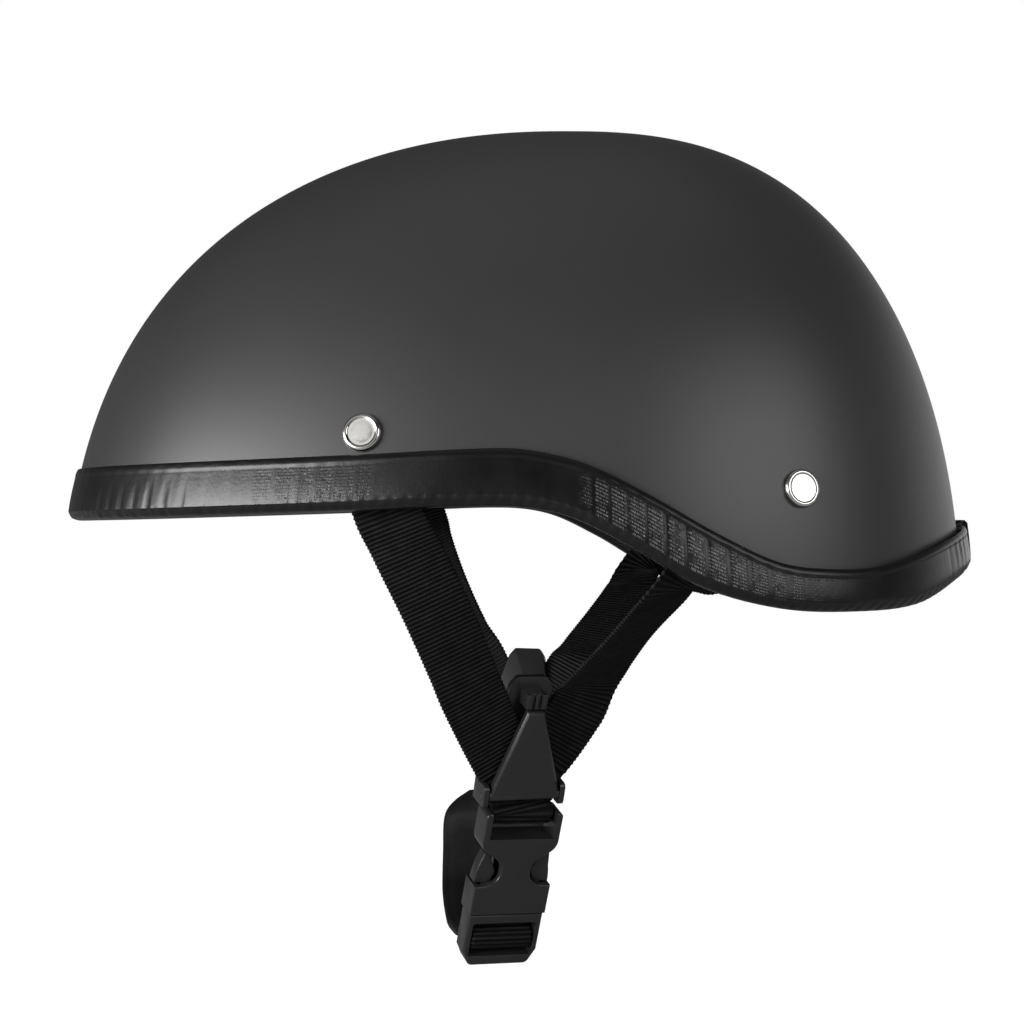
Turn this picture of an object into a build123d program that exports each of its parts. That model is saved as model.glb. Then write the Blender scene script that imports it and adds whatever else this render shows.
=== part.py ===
from build123d import *
import os
from math import sin, cos, tan, radians, pi

os.makedirs("parts", exist_ok=True)

# Half shell helmet, in millimetres. +X is the wearer's left, -Y the front, +Z up.
# The origin is the centre of the head opening, on the mid-plane.

# Dome of the shell
front_reach = 157.8
rear_reach = 127.0
half_width = 108.0
dome_height = 161.9
equator_drop = 40.0
crown_set_back = 13.65
front_powers = (2.18, 2.485)
rear_powers = (2.606, 2.184)
plan_front_power = 2.6
plan_rear_power = 2.2
arch_power = 2.25
end_share = 0.9976
station_count = 17
arch_points = 8
bisections = 40
settle_rounds = 3
shell_wall = 4.0

# Rim line and top of the trim, as shares of the rim's reach and of its drop from ear to nape
rim_reach = 145.0
rim_drop = 30.0
rim_high = 1.6
trim_high = 17.6
rim_shares = [
    (-1.4, 0.16), (-1.0, 0.15), (-0.7, 0.11), (-0.35, 0.055), (-0.04, 0.0), (0.08, 0.08), (0.2, 0.35),
    (0.34, 0.74), (0.5, 0.955), (0.66, 1.0), (0.8, 0.95), (0.92, 0.73), (1.0, 0.62), (1.4, 0.5),
]
trim_shares = [
    (-1.4, 0.16), (-1.0, 0.15), (-0.7, 0.12), (-0.33, 0.06), (-0.05, 0.0), (0.03, 0.03),
    (0.13, 0.16), (0.24, 0.42), (0.38, 0.8), (0.5, 1.06), (0.61, 1.125), (0.7, 1.11),
    (0.8, 1.0), (0.88, 0.87), (1.0, 0.7), (1.4, 0.5),
]
rim_samples = 45
slab_stretch = 1.12
overrun = 60.0

# Edge trim: a channel over the rim, higher outside than inside
trim_proud = 3.4
trim_floor = 3.0
trim_inner_wall = 2.0
trim_flange = 9.0
trim_round = 2.6
trim_corner_share = 0.3
trim_lip = 1.0
trim_sections = 41
trim_joint = 0.4
fit_gap = 0.3

# Joint cover at the rear centre
cover_width = 16.0
cover_wall = 1.3
cover_hook = 1.4
cover_gap = 0.5
cover_sections = 5

# Liner and pads
liner_wall = 17.5
pad_thickness = 6.0
pad_corner = 12.0
crown_pad_length = 112.0
crown_pad_width = 84.0
crown_pad_back = 12.0
brow_pad_half = 66.0
brow_pad_back = -70.0
brow_pad_low = 14.0
brow_pad_high = 52.0
nape_pad_half = 54.0
nape_pad_front = 84.0
nape_pad_low = -8.0
nape_pad_high = 34.0
side_pad_front = -48.0
side_pad_rear = 58.0
side_pad_low = 6.0
side_pad_high = 46.0

# Rivets
rivet_front = (-44.4, 22.0)
rivet_rear = (78.8, 6.6)
cap_radius = 5.5
cap_height = 1.7
cap_face_radius = 3.7
cap_face_dip = 0.3
cap_rim = 0.7
cap_ring_radius = 4.9
cap_edge = 0.5
cap_seat = 0.2
post_radius = 2.2
post_clearance = 0.15
post_head_radius = 3.4
post_head_height = 0.9
washer_radius = 5.0
washer_thickness = 1.0
stack_gap = 0.1
sample_step = 0.5

# Webbing
strap_width = 20.0
strap_thickness = 1.4
stretch_stations = 4
tab_length = 9.0
tab_flat = 5.6
tab_sag = 1.0
flange_strap_depth = 9.0
front_exit_depth = 9.0
rear_exit_depth = 12.8
pocket_width = 26.0
pocket_outer = 12.0
pocket_inner = 4.0
pocket_head = 4.0
pocket_stations = 5
front_exit = (-37.0, -1.0)
rear_exit = (44.0, -20.5)
front_flange_share = 0.44
rear_flange_share = 0.68
free_shares = (0.2, 0.5, 0.8)
front_exit_turn = 0.0
front_turns = (6.0, 12.0, 18.0)
rear_exit_turn = 40.0
rear_turns = (46.0, 48.0, 38.0)

# Strap divider, hung on the left side and mirrored to the right
divider_out = 66.0
divider_back = 4.8
divider_down = 59.1
lean_in = 18.5
lean_forward = 8.0
divider_turn = 22.0
lever_tip_half = 2.6
lever_foot_half = 11.0
lever_length = 26.0
lever_thickness = 2.4
lever_bevel = 0.7
barrel_radius = 1.6
barrel_half = 11.1
pin_radius = 1.0
pin_play = 0.06
ear_inner = 11.4
ear_wall = 1.6
ear_height = 7.0
ear_corner = 1.5
frame_foot = 31.0
frame_top = 8.5
frame_top_half = 4.6
frame_plate = 2.1
catch_half = 3.2
catch_low = 0.6
catch_high = 5.2
catch_top = 0.8
catch_slot = 1.1
catch_slot_gap = 0.9
frame_shoulder = 22.0
frame_neck_half = 6.5
frame_neck = 6.0
frame_corner = 1.0
lever_corner = 0.8
layer_gap = 0.2
layer_play = 0.3
front_entry = (-17.5, 4.0)
front_bend = (-3.5, -18.5)
rear_entry = (16.0, 4.5)
rear_bend = (5.0, -17.5)
bunched_width = 15.0
loop_aside = 1.0
loop_head = 26.0
loop_flare = 31.5

# Side-release buckle for 20 mm webbing
buckle_below = 33.5
buckle_aside = 1.5
buckle_tilt = -2.1
socket_half = 12.4
socket_corner = 1.2
socket_length = 34.0
socket_thickness = 8.4
socket_wall = 1.9
socket_side_wall = 1.6
socket_shoulder = 9.0
waist_half = 4.9
waist_drop = 19.5
window_foot = 24.3
waist_flank_half = 9.2
waist_flank = 13.8
bar_radius = 1.7
bar_drop = 1.8
bar_deep = 5.1
bar_play = 0.3
loop_step = 30.0
loop_lead = 25.0
slot_half = 10.4
slot_foot = 8.4
edge_round = 0.5
cavity_top = 13.0

# Male half: ladder frame, guide tongue and two prongs
mouth_gap = 0.4
male_half = 12.1
male_knee = 47.0
male_foot_half = 9.6
male_foot = 51.8
male_thickness = 6.8
male_corner = 2.0
base_height = 3.0
ladder_half = 10.35
ladder_foot = 48.6
ladder_corner = 0.8
crossbar_radius = 1.4
crossbar_drop = 43.4
tongue_half = 2.2
tongue_tip = 13.6
tongue_corner = 1.0
tongue_thickness = 3.4
prong_place = 8.6
prong_arm = 1.8
prong_root = 1.5
prong_root_play = 0.06
prong_root_drop = 35.3
prong_tip = 14.0
prong_tip_place = 9.3
prong_barb = 12.1
prong_barb_drop = 23.9
prong_knuckle = 5.8
prong_knuckle_drop = 20.2
prong_blade = 1.9
prong_thickness = 4.0
prong_heel = 1.6

# Chin strap, its ladder fold and tail, the pad and the keeper
ladder_span = 3.2
ladder_leg = 3.6
ladder_end = 8.8
chin_head = 31.7
chin_stitch = 40.0
chin_power = 3.4
near_power = 2.0
chin_low = 135.5
chin_forward = 8.0
near_shares = (0.6, 0.85)
pad_width = 39.0
pad_shift = 5.0
pad_sleeve_gap = 0.3
pad_overrun = 2.0
chin_pad_thickness = 5.4
pad_end_thickness = 3.6
chin_pad_shares = [
    (0.985, 0.58), (0.96, 0.84), (0.92, 1.0), (0.8, 0.96), (0.62, 0.9), (0.3, 0.79),
    (0.0, 0.72), (-0.15, 0.66), (-0.22, 0.6), (-0.26, 0.57),
]
tail_exit = 11.0
tail_places = (25.0, 21.5, 18.0, 15.0)
tail_below = 3.4
keeper_place = 21.0
keeper_wall = 1.2
keeper_length = 6.0
keeper_play = 0.5


def between(start, end, share):
    return start * (1 - share) + end * share


# Place, half width and height of the dome's cross-section at a share of its reach
def station(share, offset):
    if share > 0:
        reach, powers, plan = rear_reach, rear_powers, plan_rear_power
    else:
        reach, powers, plan = front_reach, front_powers, plan_front_power
    depth = abs(share)
    half = (half_width + offset) * (1 - depth ** plan) ** (1 / plan)
    height = (dome_height + offset) * (1 - depth ** powers[0]) ** (1 / powers[1])
    return crown_set_back + share * (reach + offset), half, height


# A closed dome, offset from the outer face of the shell, lofted through superelliptic arches
def dome(offset):
    with BuildPart() as body:
        for index in range(station_count):
            share = end_share * sin(pi / 2 * (2 * index / (station_count - 1) - 1))
            place, half, height = station(share, offset)
            with BuildSketch(Plane(origin=(0, place, -equator_drop), x_dir=(1, 0, 0), z_dir=(0, -1, 0))):
                with BuildLine():
                    points = []
                    for step in range(arch_points):
                        angle = pi / 2 * step / (arch_points - 1)
                        across = cos(angle) ** (2 / arch_power)
                        points.append((half * across, height * sin(angle) ** (2 / arch_power)))
                    points[-1] = (0, height)
                    Spline(*points, tangents=((0, 1), (-1, 0)))
                    mirror(about=Plane.YZ)
                    Line((half, 0), (-half, 0))
                make_face()
        loft()
    return body.part


# Whether a point lies inside an offset dome
def inside(across, place, height, offset):
    reach = rear_reach if place > crown_set_back else front_reach
    share = (place - crown_set_back) / (reach + offset)
    if abs(share) >= 1:
        return False
    middle, half, top = station(share, offset)
    return abs(across / half) ** arch_power + ((height + equator_drop) / top) ** arch_power < 1


# How far an offset dome reaches from its upright axis, at an angle from the rear and a height
def radial_reach(angle, height, offset):
    near, far = 0, half_width + front_reach
    for _ in range(bisections):
        middle = (near + far) / 2
        if inside(middle * sin(angle), crown_set_back + middle * cos(angle), height, offset):
            near = middle
        else:
            far = middle
    return near


# The point of an offset dome on the wearer's left, at a place along Y and a height
def side_point(place, height, offset=0):
    reach = rear_reach if place > crown_set_back else front_reach
    middle, half, top = station((place - crown_set_back) / (reach + offset), offset)
    rise = (height + equator_drop) / top
    return Vector(half * (1 - rise ** arch_power) ** (1 / arch_power), place, height)


def side_normal(place, height):
    along = side_point(place + sample_step, height) - side_point(place - sample_step, height)
    up = side_point(place, height + sample_step) - side_point(place, height - sample_step)
    return along.cross(up).normalized()


# Height of a rim line at a place along Y: a smooth curve through its shares
def rim_height(shares, high, place):
    share = place / rim_reach
    index = 1
    while index < len(shares) - 3 and shares[index + 1][0] < share:
        index += 1
    before, start, end, after = shares[index - 1 : index + 3]
    span = end[0] - start[0]
    step = (share - start[0]) / span
    slope_start = (end[1] - before[1]) / (end[0] - before[0]) * span
    slope_end = (after[1] - start[1]) / (after[0] - start[0]) * span
    drop = (
        (2 * step ** 3 - 3 * step ** 2 + 1) * start[1]
        + (step ** 3 - 2 * step ** 2 + step) * slope_start
        + (3 * step ** 2 - 2 * step ** 3) * end[1]
        + (step ** 3 - step ** 2) * slope_end
    )
    return high - drop * rim_drop


# A slab across the whole width, below the rim line raised by lift
def below_rim(lift):
    with BuildPart() as slab:
        with BuildSketch(Plane.YZ):
            with BuildLine():
                points = []
                for index in range(rim_samples):
                    place = slab_stretch * rim_reach * (2 * index / (rim_samples - 1) - 1)
                    points.append((place, rim_height(rim_shares, rim_high, place) + lift))
                floor = -rim_drop - overrun
                Spline(*points)
                Polyline(points[-1], (points[-1][0], floor), (points[0][0], floor), points[0])
            make_face()
        extrude(amount=half_width + overrun, both=True)
    return slab.part


# Upright section plane through the dome's axis, at an angle from the rear
def rim_plane(angle):
    return Plane(
        origin=(0, crown_set_back, 0), x_dir=(sin(angle), cos(angle), 0), z_dir=(cos(angle), -sin(angle), 0)
    )


# Points of a section plane, from (offset from the shell, rim line, lift above that line)
def rim_points(angle, outline):
    points = []
    for offset, (shares, high), lift in outline:
        height = high
        for _ in range(settle_rounds):
            place = crown_set_back + radial_reach(angle, height, offset) * cos(angle)
            height = rim_height(shares, high, place) + lift
        points.append((radial_reach(angle, height, offset), height))
    return points


# A band lofted straight between stations of centre, width direction, run direction, width and thickness
def ribbon(stations):
    with BuildPart() as band:
        for start in range(0, len(stations) - 1, stretch_stations):
            for centre, across, run, width, thickness in stations[start : start + stretch_stations + 1]:
                square = (across - run * across.dot(run)).normalized()
                with BuildSketch(Plane(origin=centre, x_dir=square, z_dir=run)):
                    Rectangle(width, thickness)
            loft(ruled=True)
    return band.part


# Stations of webbing through a list of centres, each with its width direction and width
def webbing(places):
    stations = []
    for index, (centre, across, width) in enumerate(places):
        before = places[max(index - 1, 0)][0]
        after = places[min(index + 1, len(places) - 1)][0]
        stations.append((centre, across, (after - before).normalized(), width, strap_thickness))
    return stations


# Width direction of webbing whose face is turned from straight sideways towards the rear
def facing(turn):
    return Vector(-sin(radians(turn)), cos(radians(turn)), 0)


outer_dome = dome(0)
inner_dome = dome(-shell_wall)
liner_offset = -shell_wall - fit_gap
flange_offset = liner_offset - trim_inner_wall
pad_offset = liner_offset - liner_wall - fit_gap

rivet_planes = []
for spot, normal in [(side_point(*rivet), side_normal(*rivet)) for rivet in (rivet_front, rivet_rear)]:
    for side in (1, -1):
        rivet_planes.append(
            Plane(
                origin=(side * spot.X, spot.Y, spot.Z),
                x_dir=(0, 1, 0),
                z_dir=(side * normal.X, normal.Y, normal.Z),
            )
        )

# Directions from each rivet along the shell to where its strap leaves the rim, on the left
pocket_runs = []
for plane, strap_exit in ((rivet_planes[0], front_exit), (rivet_planes[2], rear_exit)):
    run = side_point(*strap_exit) - plane.origin
    pocket_runs.append((run - plane.z_dir * run.dot(plane.z_dir)).normalized())

# Strap divider on the left: local x runs to the rear, y up the strap and z out of its face
fall = Vector(-tan(radians(lean_in)), -tan(radians(lean_forward)), -1).normalized()
face = Vector(cos(radians(divider_turn)), sin(radians(divider_turn)), 0)
face = (face - fall * face.dot(fall)).normalized()
divider_plane = Plane(
    origin=(divider_out, divider_back, -divider_down), x_dir=face.cross(fall), z_dir=face
)
outer_layer = 2 * barrel_radius + layer_play + strap_thickness / 2
inner_layer = outer_layer + strap_thickness + layer_gap
frame_face = inner_layer + strap_thickness / 2 + layer_play
frame_back = frame_face + frame_plate
hinge_drop = lever_length + barrel_radius
hinge_plane = Plane(
    origin=divider_plane.from_local_coords(Vector(0, -hinge_drop, -barrel_radius)),
    x_dir=divider_plane.y_dir,
    z_dir=divider_plane.x_dir,
)

buckle_plane = Plane(
    divider_plane.location * Location((buckle_aside, -buckle_below, 0), (0, 0, buckle_tilt))
)


# Centres, width directions and widths of one leg, from its tab down to the foot of the divider
def leg(plane, run, rivet, strap_exit, flange_share, depth, exit_turn, turns, entry, bend, layer):
    tab = plane.origin - plane.z_dir * tab_drop
    tab_across = plane.z_dir.cross(run)
    places = [
        (tab - run * tab_length, tab_across, strap_width),
        (tab + run * tab_flat, tab_across, strap_width),
    ]
    place = between(rivet[0], strap_exit[0], flange_share)
    height = between(rivet[1], strap_exit[1], flange_share)
    flange_point = side_point(place, height, -flange_strap_depth)
    places.append((flange_point, side_normal(place, height).cross(run), strap_width))
    out = side_point(*strap_exit, -depth)
    places.append((out, facing(exit_turn), strap_width))
    inlet = divider_plane.from_local_coords(Vector(*entry, -layer))
    for share, turn in zip(free_shares, turns):
        places.append((out * (1 - share) + inlet * share, facing(turn), strap_width))
    places.append((inlet, divider_plane.x_dir, between(strap_width, bunched_width, 1 / 2)))
    for aside, height, width in (
        (*bend, bunched_width),
        (loop_aside, -loop_head, strap_width),
        (loop_aside, -loop_flare, strap_width),
    ):
        centre = divider_plane.from_local_coords(Vector(aside, height, -layer))
        places.append((centre, divider_plane.x_dir, width))
    return places


tab_drop = shell_wall + tab_sag + strap_thickness / 2
front_leg = leg(
    rivet_planes[0], pocket_runs[0], rivet_front, front_exit, front_flange_share, front_exit_depth,
    front_exit_turn, front_turns, front_entry, front_bend, outer_layer,
)
rear_leg = leg(
    rivet_planes[2], pocket_runs[1], rivet_rear, rear_exit, rear_flange_share, rear_exit_depth,
    rear_exit_turn, rear_turns, rear_entry, rear_bend, inner_layer,
)

# Outer shell
with BuildPart() as outer_shell:
    add(outer_dome)
    add(inner_dome, mode=Mode.SUBTRACT)
    add(below_rim(trim_floor), mode=Mode.SUBTRACT)
    for plane in rivet_planes:
        with BuildSketch(plane.offset(cap_height)):
            Circle(post_radius + post_clearance)
        extrude(amount=-shell_wall - 2 * cap_height, mode=Mode.SUBTRACT)
outer_shell.part.label = "outer_shell"
export_step(outer_shell.part, "parts/outer_shell.step")

cover_angle = cover_width / 2 / (rear_reach + trim_proud)
cover_offset = trim_proud + cover_gap
foot = (rim_shares, rim_high)
crest = (trim_shares, trim_high)

# Edge trim, from one side of its joint at the rear centre round to the other
joint_angle = trim_joint / 2 / (rear_reach + trim_proud)
with BuildPart() as rim_trim:
    for index in range(trim_sections):
        angle = joint_angle + (2 * pi - 2 * joint_angle) * index / (trim_sections - 1)
        outline = [
            (trim_proud, foot, trim_round),
            (trim_proud - trim_round * trim_corner_share, foot, trim_round * trim_corner_share),
            (trim_proud - trim_round, foot, 0),
            (flange_offset + trim_lip, foot, 0),
            (flange_offset, foot, trim_lip),
            (flange_offset, foot, trim_floor + trim_flange),
            (liner_offset, foot, trim_floor + trim_flange),
            (liner_offset, foot, trim_floor - fit_gap),
            (fit_gap, foot, trim_floor - fit_gap),
            (fit_gap, crest, 0),
            (trim_proud - trim_lip, crest, 0),
            (trim_proud, crest, -trim_lip),
        ]
        with BuildSketch(rim_plane(angle)):
            with BuildLine():
                Polyline(*rim_points(angle, outline), close=True)
            make_face()
    loft()
rim_trim.part.label = "rim_trim"
export_step(rim_trim.part, "parts/rim_trim.step")

# Joint cover: a thin leather band over the trim's joint, hooked over its top and under its foot
with BuildPart() as trim_joint_cover:
    for index in range(cover_sections):
        angle = cover_angle * (2 * index / (cover_sections - 1) - 1)
        outline = [
            (cover_offset + cover_wall, foot, cover_wall),
            (cover_offset, foot, -cover_wall),
            (flange_offset + trim_lip, foot, -cover_wall - cover_gap),
            (flange_offset + trim_lip, foot, -cover_gap),
            (cover_offset - trim_round, foot, -cover_gap),
            (cover_offset, foot, trim_round),
            (cover_offset, crest, cover_gap),
            (cover_gap, crest, cover_gap),
            (cover_gap, crest, cover_hook),
            (cover_offset, crest, cover_hook + cover_gap),
            (cover_offset + cover_wall, crest, 0),
        ]
        with BuildSketch(rim_plane(angle)):
            with BuildLine():
                Polyline(*rim_points(angle, outline), close=True)
            make_face()
    loft()
trim_joint_cover.part.label = "trim_joint_cover"
export_step(trim_joint_cover.part, "parts/trim_joint_cover.step")


# Foam liner, cut back behind the trim's inner flange, with a pocket round each strap end
flange_room = dome(flange_offset - fit_gap)
with BuildPart() as liner_rim:
    add(below_rim(trim_floor + trim_flange + fit_gap))
    add(flange_room, mode=Mode.SUBTRACT)

pockets = []
for places in (front_leg, rear_leg):
    stations = []
    for centre, across, run, width, thickness in webbing(places[:pocket_stations]):
        outward = run.cross(across).normalized()
        middle = centre + outward * (pocket_outer - pocket_inner) / 2
        stations.append((middle, across, run, pocket_width, pocket_outer + pocket_inner))
    first = stations[0]
    stations.insert(0, (first[0] - first[2] * pocket_head, *first[1:]))
    pockets.append(ribbon(stations))

with BuildPart() as impact_liner:
    add(dome(liner_offset))
    add(dome(liner_offset - liner_wall), mode=Mode.SUBTRACT)
    add(below_rim(trim_floor), mode=Mode.SUBTRACT)
    add(liner_rim.part, mode=Mode.SUBTRACT)
    for pocket in pockets:
        add(pocket, mode=Mode.SUBTRACT)
        add(mirror(pocket, about=Plane.YZ), mode=Mode.SUBTRACT)
impact_liner.part.label = "impact_liner"
export_step(impact_liner.part, "parts/impact_liner.step")

# Comfort pads: patches of a layer inside the liner
with BuildPart() as pad_layer:
    add(dome(pad_offset))
    add(dome(pad_offset - pad_thickness), mode=Mode.SUBTRACT)

with BuildPart() as crown_pad:
    with BuildSketch():
        with Locations((0, crown_pad_back)):
            Ellipse(crown_pad_width / 2, crown_pad_length / 2)
    extrude(amount=dome_height)
    add(pad_layer.part, mode=Mode.INTERSECT)
crown_pad.part.label = "crown_pad"
export_step(crown_pad.part, "parts/crown_pad.step")

with BuildPart() as brow_pad:
    with BuildSketch(Plane.XZ.offset(-brow_pad_back)):
        with Locations((0, (brow_pad_low + brow_pad_high) / 2)):
            RectangleRounded(2 * brow_pad_half, brow_pad_high - brow_pad_low, pad_corner)
    extrude(amount=front_reach)
    add(pad_layer.part, mode=Mode.INTERSECT)
brow_pad.part.label = "brow_pad"
export_step(brow_pad.part, "parts/brow_pad.step")

with BuildPart() as nape_pad:
    with BuildSketch(Plane.XZ.offset(-nape_pad_front)):
        with Locations((0, (nape_pad_low + nape_pad_high) / 2)):
            RectangleRounded(2 * nape_pad_half, nape_pad_high - nape_pad_low, pad_corner)
    extrude(amount=-rear_reach)
    add(pad_layer.part, mode=Mode.INTERSECT)
nape_pad.part.label = "nape_pad"
export_step(nape_pad.part, "parts/nape_pad.step")

with BuildPart() as side_pad_left:
    with BuildSketch(Plane.YZ):
        with Locations(((side_pad_front + side_pad_rear) / 2, (side_pad_low + side_pad_high) / 2)):
            RectangleRounded(side_pad_rear - side_pad_front, side_pad_high - side_pad_low, pad_corner)
    extrude(amount=half_width)
    add(pad_layer.part, mode=Mode.INTERSECT)
side_pad_left.part.label = "side_pad_left"
export_step(side_pad_left.part, "parts/side_pad_left.step")

with BuildPart() as side_pad_right:
    mirror(side_pad_left.part, about=Plane.YZ)
side_pad_right.part.label = "side_pad_right"
export_step(side_pad_right.part, "parts/side_pad_right.step")

# Rivets, from the cap outside to the rolled head inside: cap, shell, strap end, washer, head
washer_top = tab_drop + strap_thickness / 2 + stack_gap
washer_foot = washer_top + washer_thickness
cap_top = cap_seat + cap_height
with BuildPart() as rivet_caps:
    for plane in rivet_planes:
        with BuildSketch(Plane(origin=plane.origin, x_dir=plane.x_dir, z_dir=plane.x_dir.cross(plane.z_dir))):
            with BuildLine():
                Polyline(
                    (0, cap_seat),
                    (cap_radius, cap_seat),
                    (cap_radius, cap_seat + cap_rim),
                    (cap_ring_radius, cap_seat + cap_rim),
                    (cap_ring_radius, cap_top - cap_edge),
                    (cap_ring_radius - cap_edge, cap_top),
                    (cap_face_radius, cap_top),
                    (cap_face_radius, cap_top - cap_face_dip),
                    (0, cap_top - cap_face_dip),
                    close=True,
                )
            make_face()
        revolve(axis=Axis(plane.origin, plane.z_dir))
rivet_caps.part.label = "rivet_caps"
export_step(rivet_caps.part, "parts/rivet_caps.step")

with BuildPart() as rivet_posts:
    for plane in rivet_planes:
        with BuildSketch(plane.offset(cap_seat)):
            Circle(post_radius)
        extrude(amount=-cap_seat - washer_foot - stack_gap)
        with BuildSketch(plane.offset(-washer_foot - stack_gap)):
            Circle(post_head_radius)
        extrude(amount=-post_head_height)
rivet_posts.part.label = "rivet_posts"
export_step(rivet_posts.part, "parts/rivet_posts.step")

with BuildPart() as rivet_washers:
    for plane in rivet_planes:
        with BuildSketch(plane.offset(-washer_top)):
            Circle(washer_radius)
            Circle(post_radius + post_clearance, mode=Mode.SUBTRACT)
        extrude(amount=-washer_thickness)
rivet_washers.part.label = "rivet_washers"
export_step(rivet_washers.part, "parts/rivet_washers.step")

with BuildPart() as divider_lever_left:
    with BuildSketch(divider_plane):
        with BuildLine():
            Polyline(
                (lever_tip_half, 0),
                (lever_foot_half, -lever_length),
                (lever_foot_half, -hinge_drop),
                (-lever_foot_half, -hinge_drop),
                (-lever_foot_half, -lever_length),
                (-lever_tip_half, 0),
                close=True,
            )
        make_face()
        fillet(vertices().group_by(Axis.Y)[-1], lever_corner)
    extrude(amount=-lever_thickness)
    front = divider_lever_left.faces().sort_by(Axis(divider_plane.origin, divider_plane.z_dir))[-1]
    chamfer(front.edges(), lever_bevel)
    with BuildSketch(hinge_plane):
        Circle(barrel_radius)
    extrude(amount=barrel_half, both=True)
    with BuildSketch(hinge_plane):
        Circle(pin_radius)
    extrude(amount=ear_inner + ear_wall, both=True)
divider_lever_left.part.label = "divider_lever_left"
export_step(divider_lever_left.part, "parts/divider_lever_left.step")

with BuildPart() as divider_lever_right:
    mirror(divider_lever_left.part, about=Plane.YZ)
divider_lever_right.part.label = "divider_lever_right"
export_step(divider_lever_right.part, "parts/divider_lever_right.step")

ear_outer = ear_inner + ear_wall
with BuildPart() as divider_frame_left:
    with BuildSketch(divider_plane.offset(-frame_face)):
        with BuildLine():
            Polyline(
                (0, -frame_foot),
                (ear_outer, -frame_foot),
                (ear_outer, -frame_shoulder),
                (frame_neck_half, frame_neck),
                (frame_top_half, frame_top),
                (0, frame_top),
            )
            mirror(about=Plane.YZ)
        make_face()
        fillet(vertices().group_by(Axis.Y)[-1], frame_corner)
    extrude(amount=-frame_plate)
    with BuildSketch(hinge_plane.offset(ear_inner)):
        with Locations((hinge_drop - frame_foot + ear_height / 2, barrel_radius - frame_back / 2)):
            Rectangle(ear_height, frame_back)
        fillet(vertices().group_by(Axis.Y)[-1], ear_corner)
    extrude(amount=ear_wall)
    mirror(about=hinge_plane)
    with BuildSketch(hinge_plane):
        Circle(pin_radius + pin_play)
    extrude(amount=ear_outer, both=True, mode=Mode.SUBTRACT)
    with BuildSketch(divider_plane.offset(-frame_face)):
        with Locations((0, (catch_low + catch_high) / 2)):
            Rectangle(2 * catch_half, catch_high - catch_low)
    extrude(amount=frame_face - catch_top)
    with BuildSketch(divider_plane.offset(-catch_top)):
        with Locations((0, (catch_low + catch_high) / 2)):
            with GridLocations(catch_slot + catch_slot_gap, 0, 2, 1):
                Rectangle(catch_slot, catch_high - catch_low)
    extrude(amount=-catch_slot, mode=Mode.SUBTRACT)
divider_frame_left.part.label = "divider_frame_left"
export_step(divider_frame_left.part, "parts/divider_frame_left.step")

with BuildPart() as divider_frame_right:
    mirror(divider_frame_left.part, about=Plane.YZ)
divider_frame_right.part.label = "divider_frame_right"
export_step(divider_frame_right.part, "parts/divider_frame_right.step")

# Side straps: from the front rivet through the divider, round the loop and back to the rear rivet
loop_radius = bar_radius + bar_play + strap_thickness / 2
loop_count = round(180 / loop_step)
bar_loop = []
for index in range(loop_count + 1):
    angle = radians(between(-loop_lead, 180 + loop_lead, index / loop_count))
    drop = -bar_drop - loop_radius * sin(angle)
    deep = -bar_deep + loop_radius * cos(angle)
    bar_loop.append((buckle_plane.from_local_coords(Vector(0, drop, deep)), buckle_plane.x_dir, strap_width))

with BuildPart() as side_strap_left:
    add(ribbon(webbing(front_leg + bar_loop + rear_leg[::-1])))
    for plane in (rivet_planes[0], rivet_planes[2]):
        with BuildSketch(plane):
            Circle(post_radius + post_clearance)
        extrude(amount=-washer_foot, mode=Mode.SUBTRACT)
side_strap_left.part.label = "side_strap_left"
export_step(side_strap_left.part, "parts/side_strap_left.step")

fold_radius = (inner_layer - outer_layer) / 2
fold = []
for index in range(loop_count + 1):
    angle = pi * index / loop_count
    drop = -chin_stitch - fold_radius * sin(angle)
    deep = -outer_layer - fold_radius * (1 - cos(angle))
    centre = divider_plane.from_local_coords(Vector(loop_aside, drop, deep))
    fold.append((centre, divider_plane.x_dir, strap_width))
with BuildPart() as side_strap_right:
    add(mirror(ribbon(webbing(front_leg + fold + rear_leg[::-1])), about=Plane.YZ))
    for plane in (rivet_planes[1], rivet_planes[3]):
        with BuildSketch(plane):
            Circle(post_radius + post_clearance)
        extrude(amount=-washer_foot, mode=Mode.SUBTRACT)
side_strap_right.part.label = "side_strap_right"
export_step(side_strap_right.part, "parts/side_strap_right.step")

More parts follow.
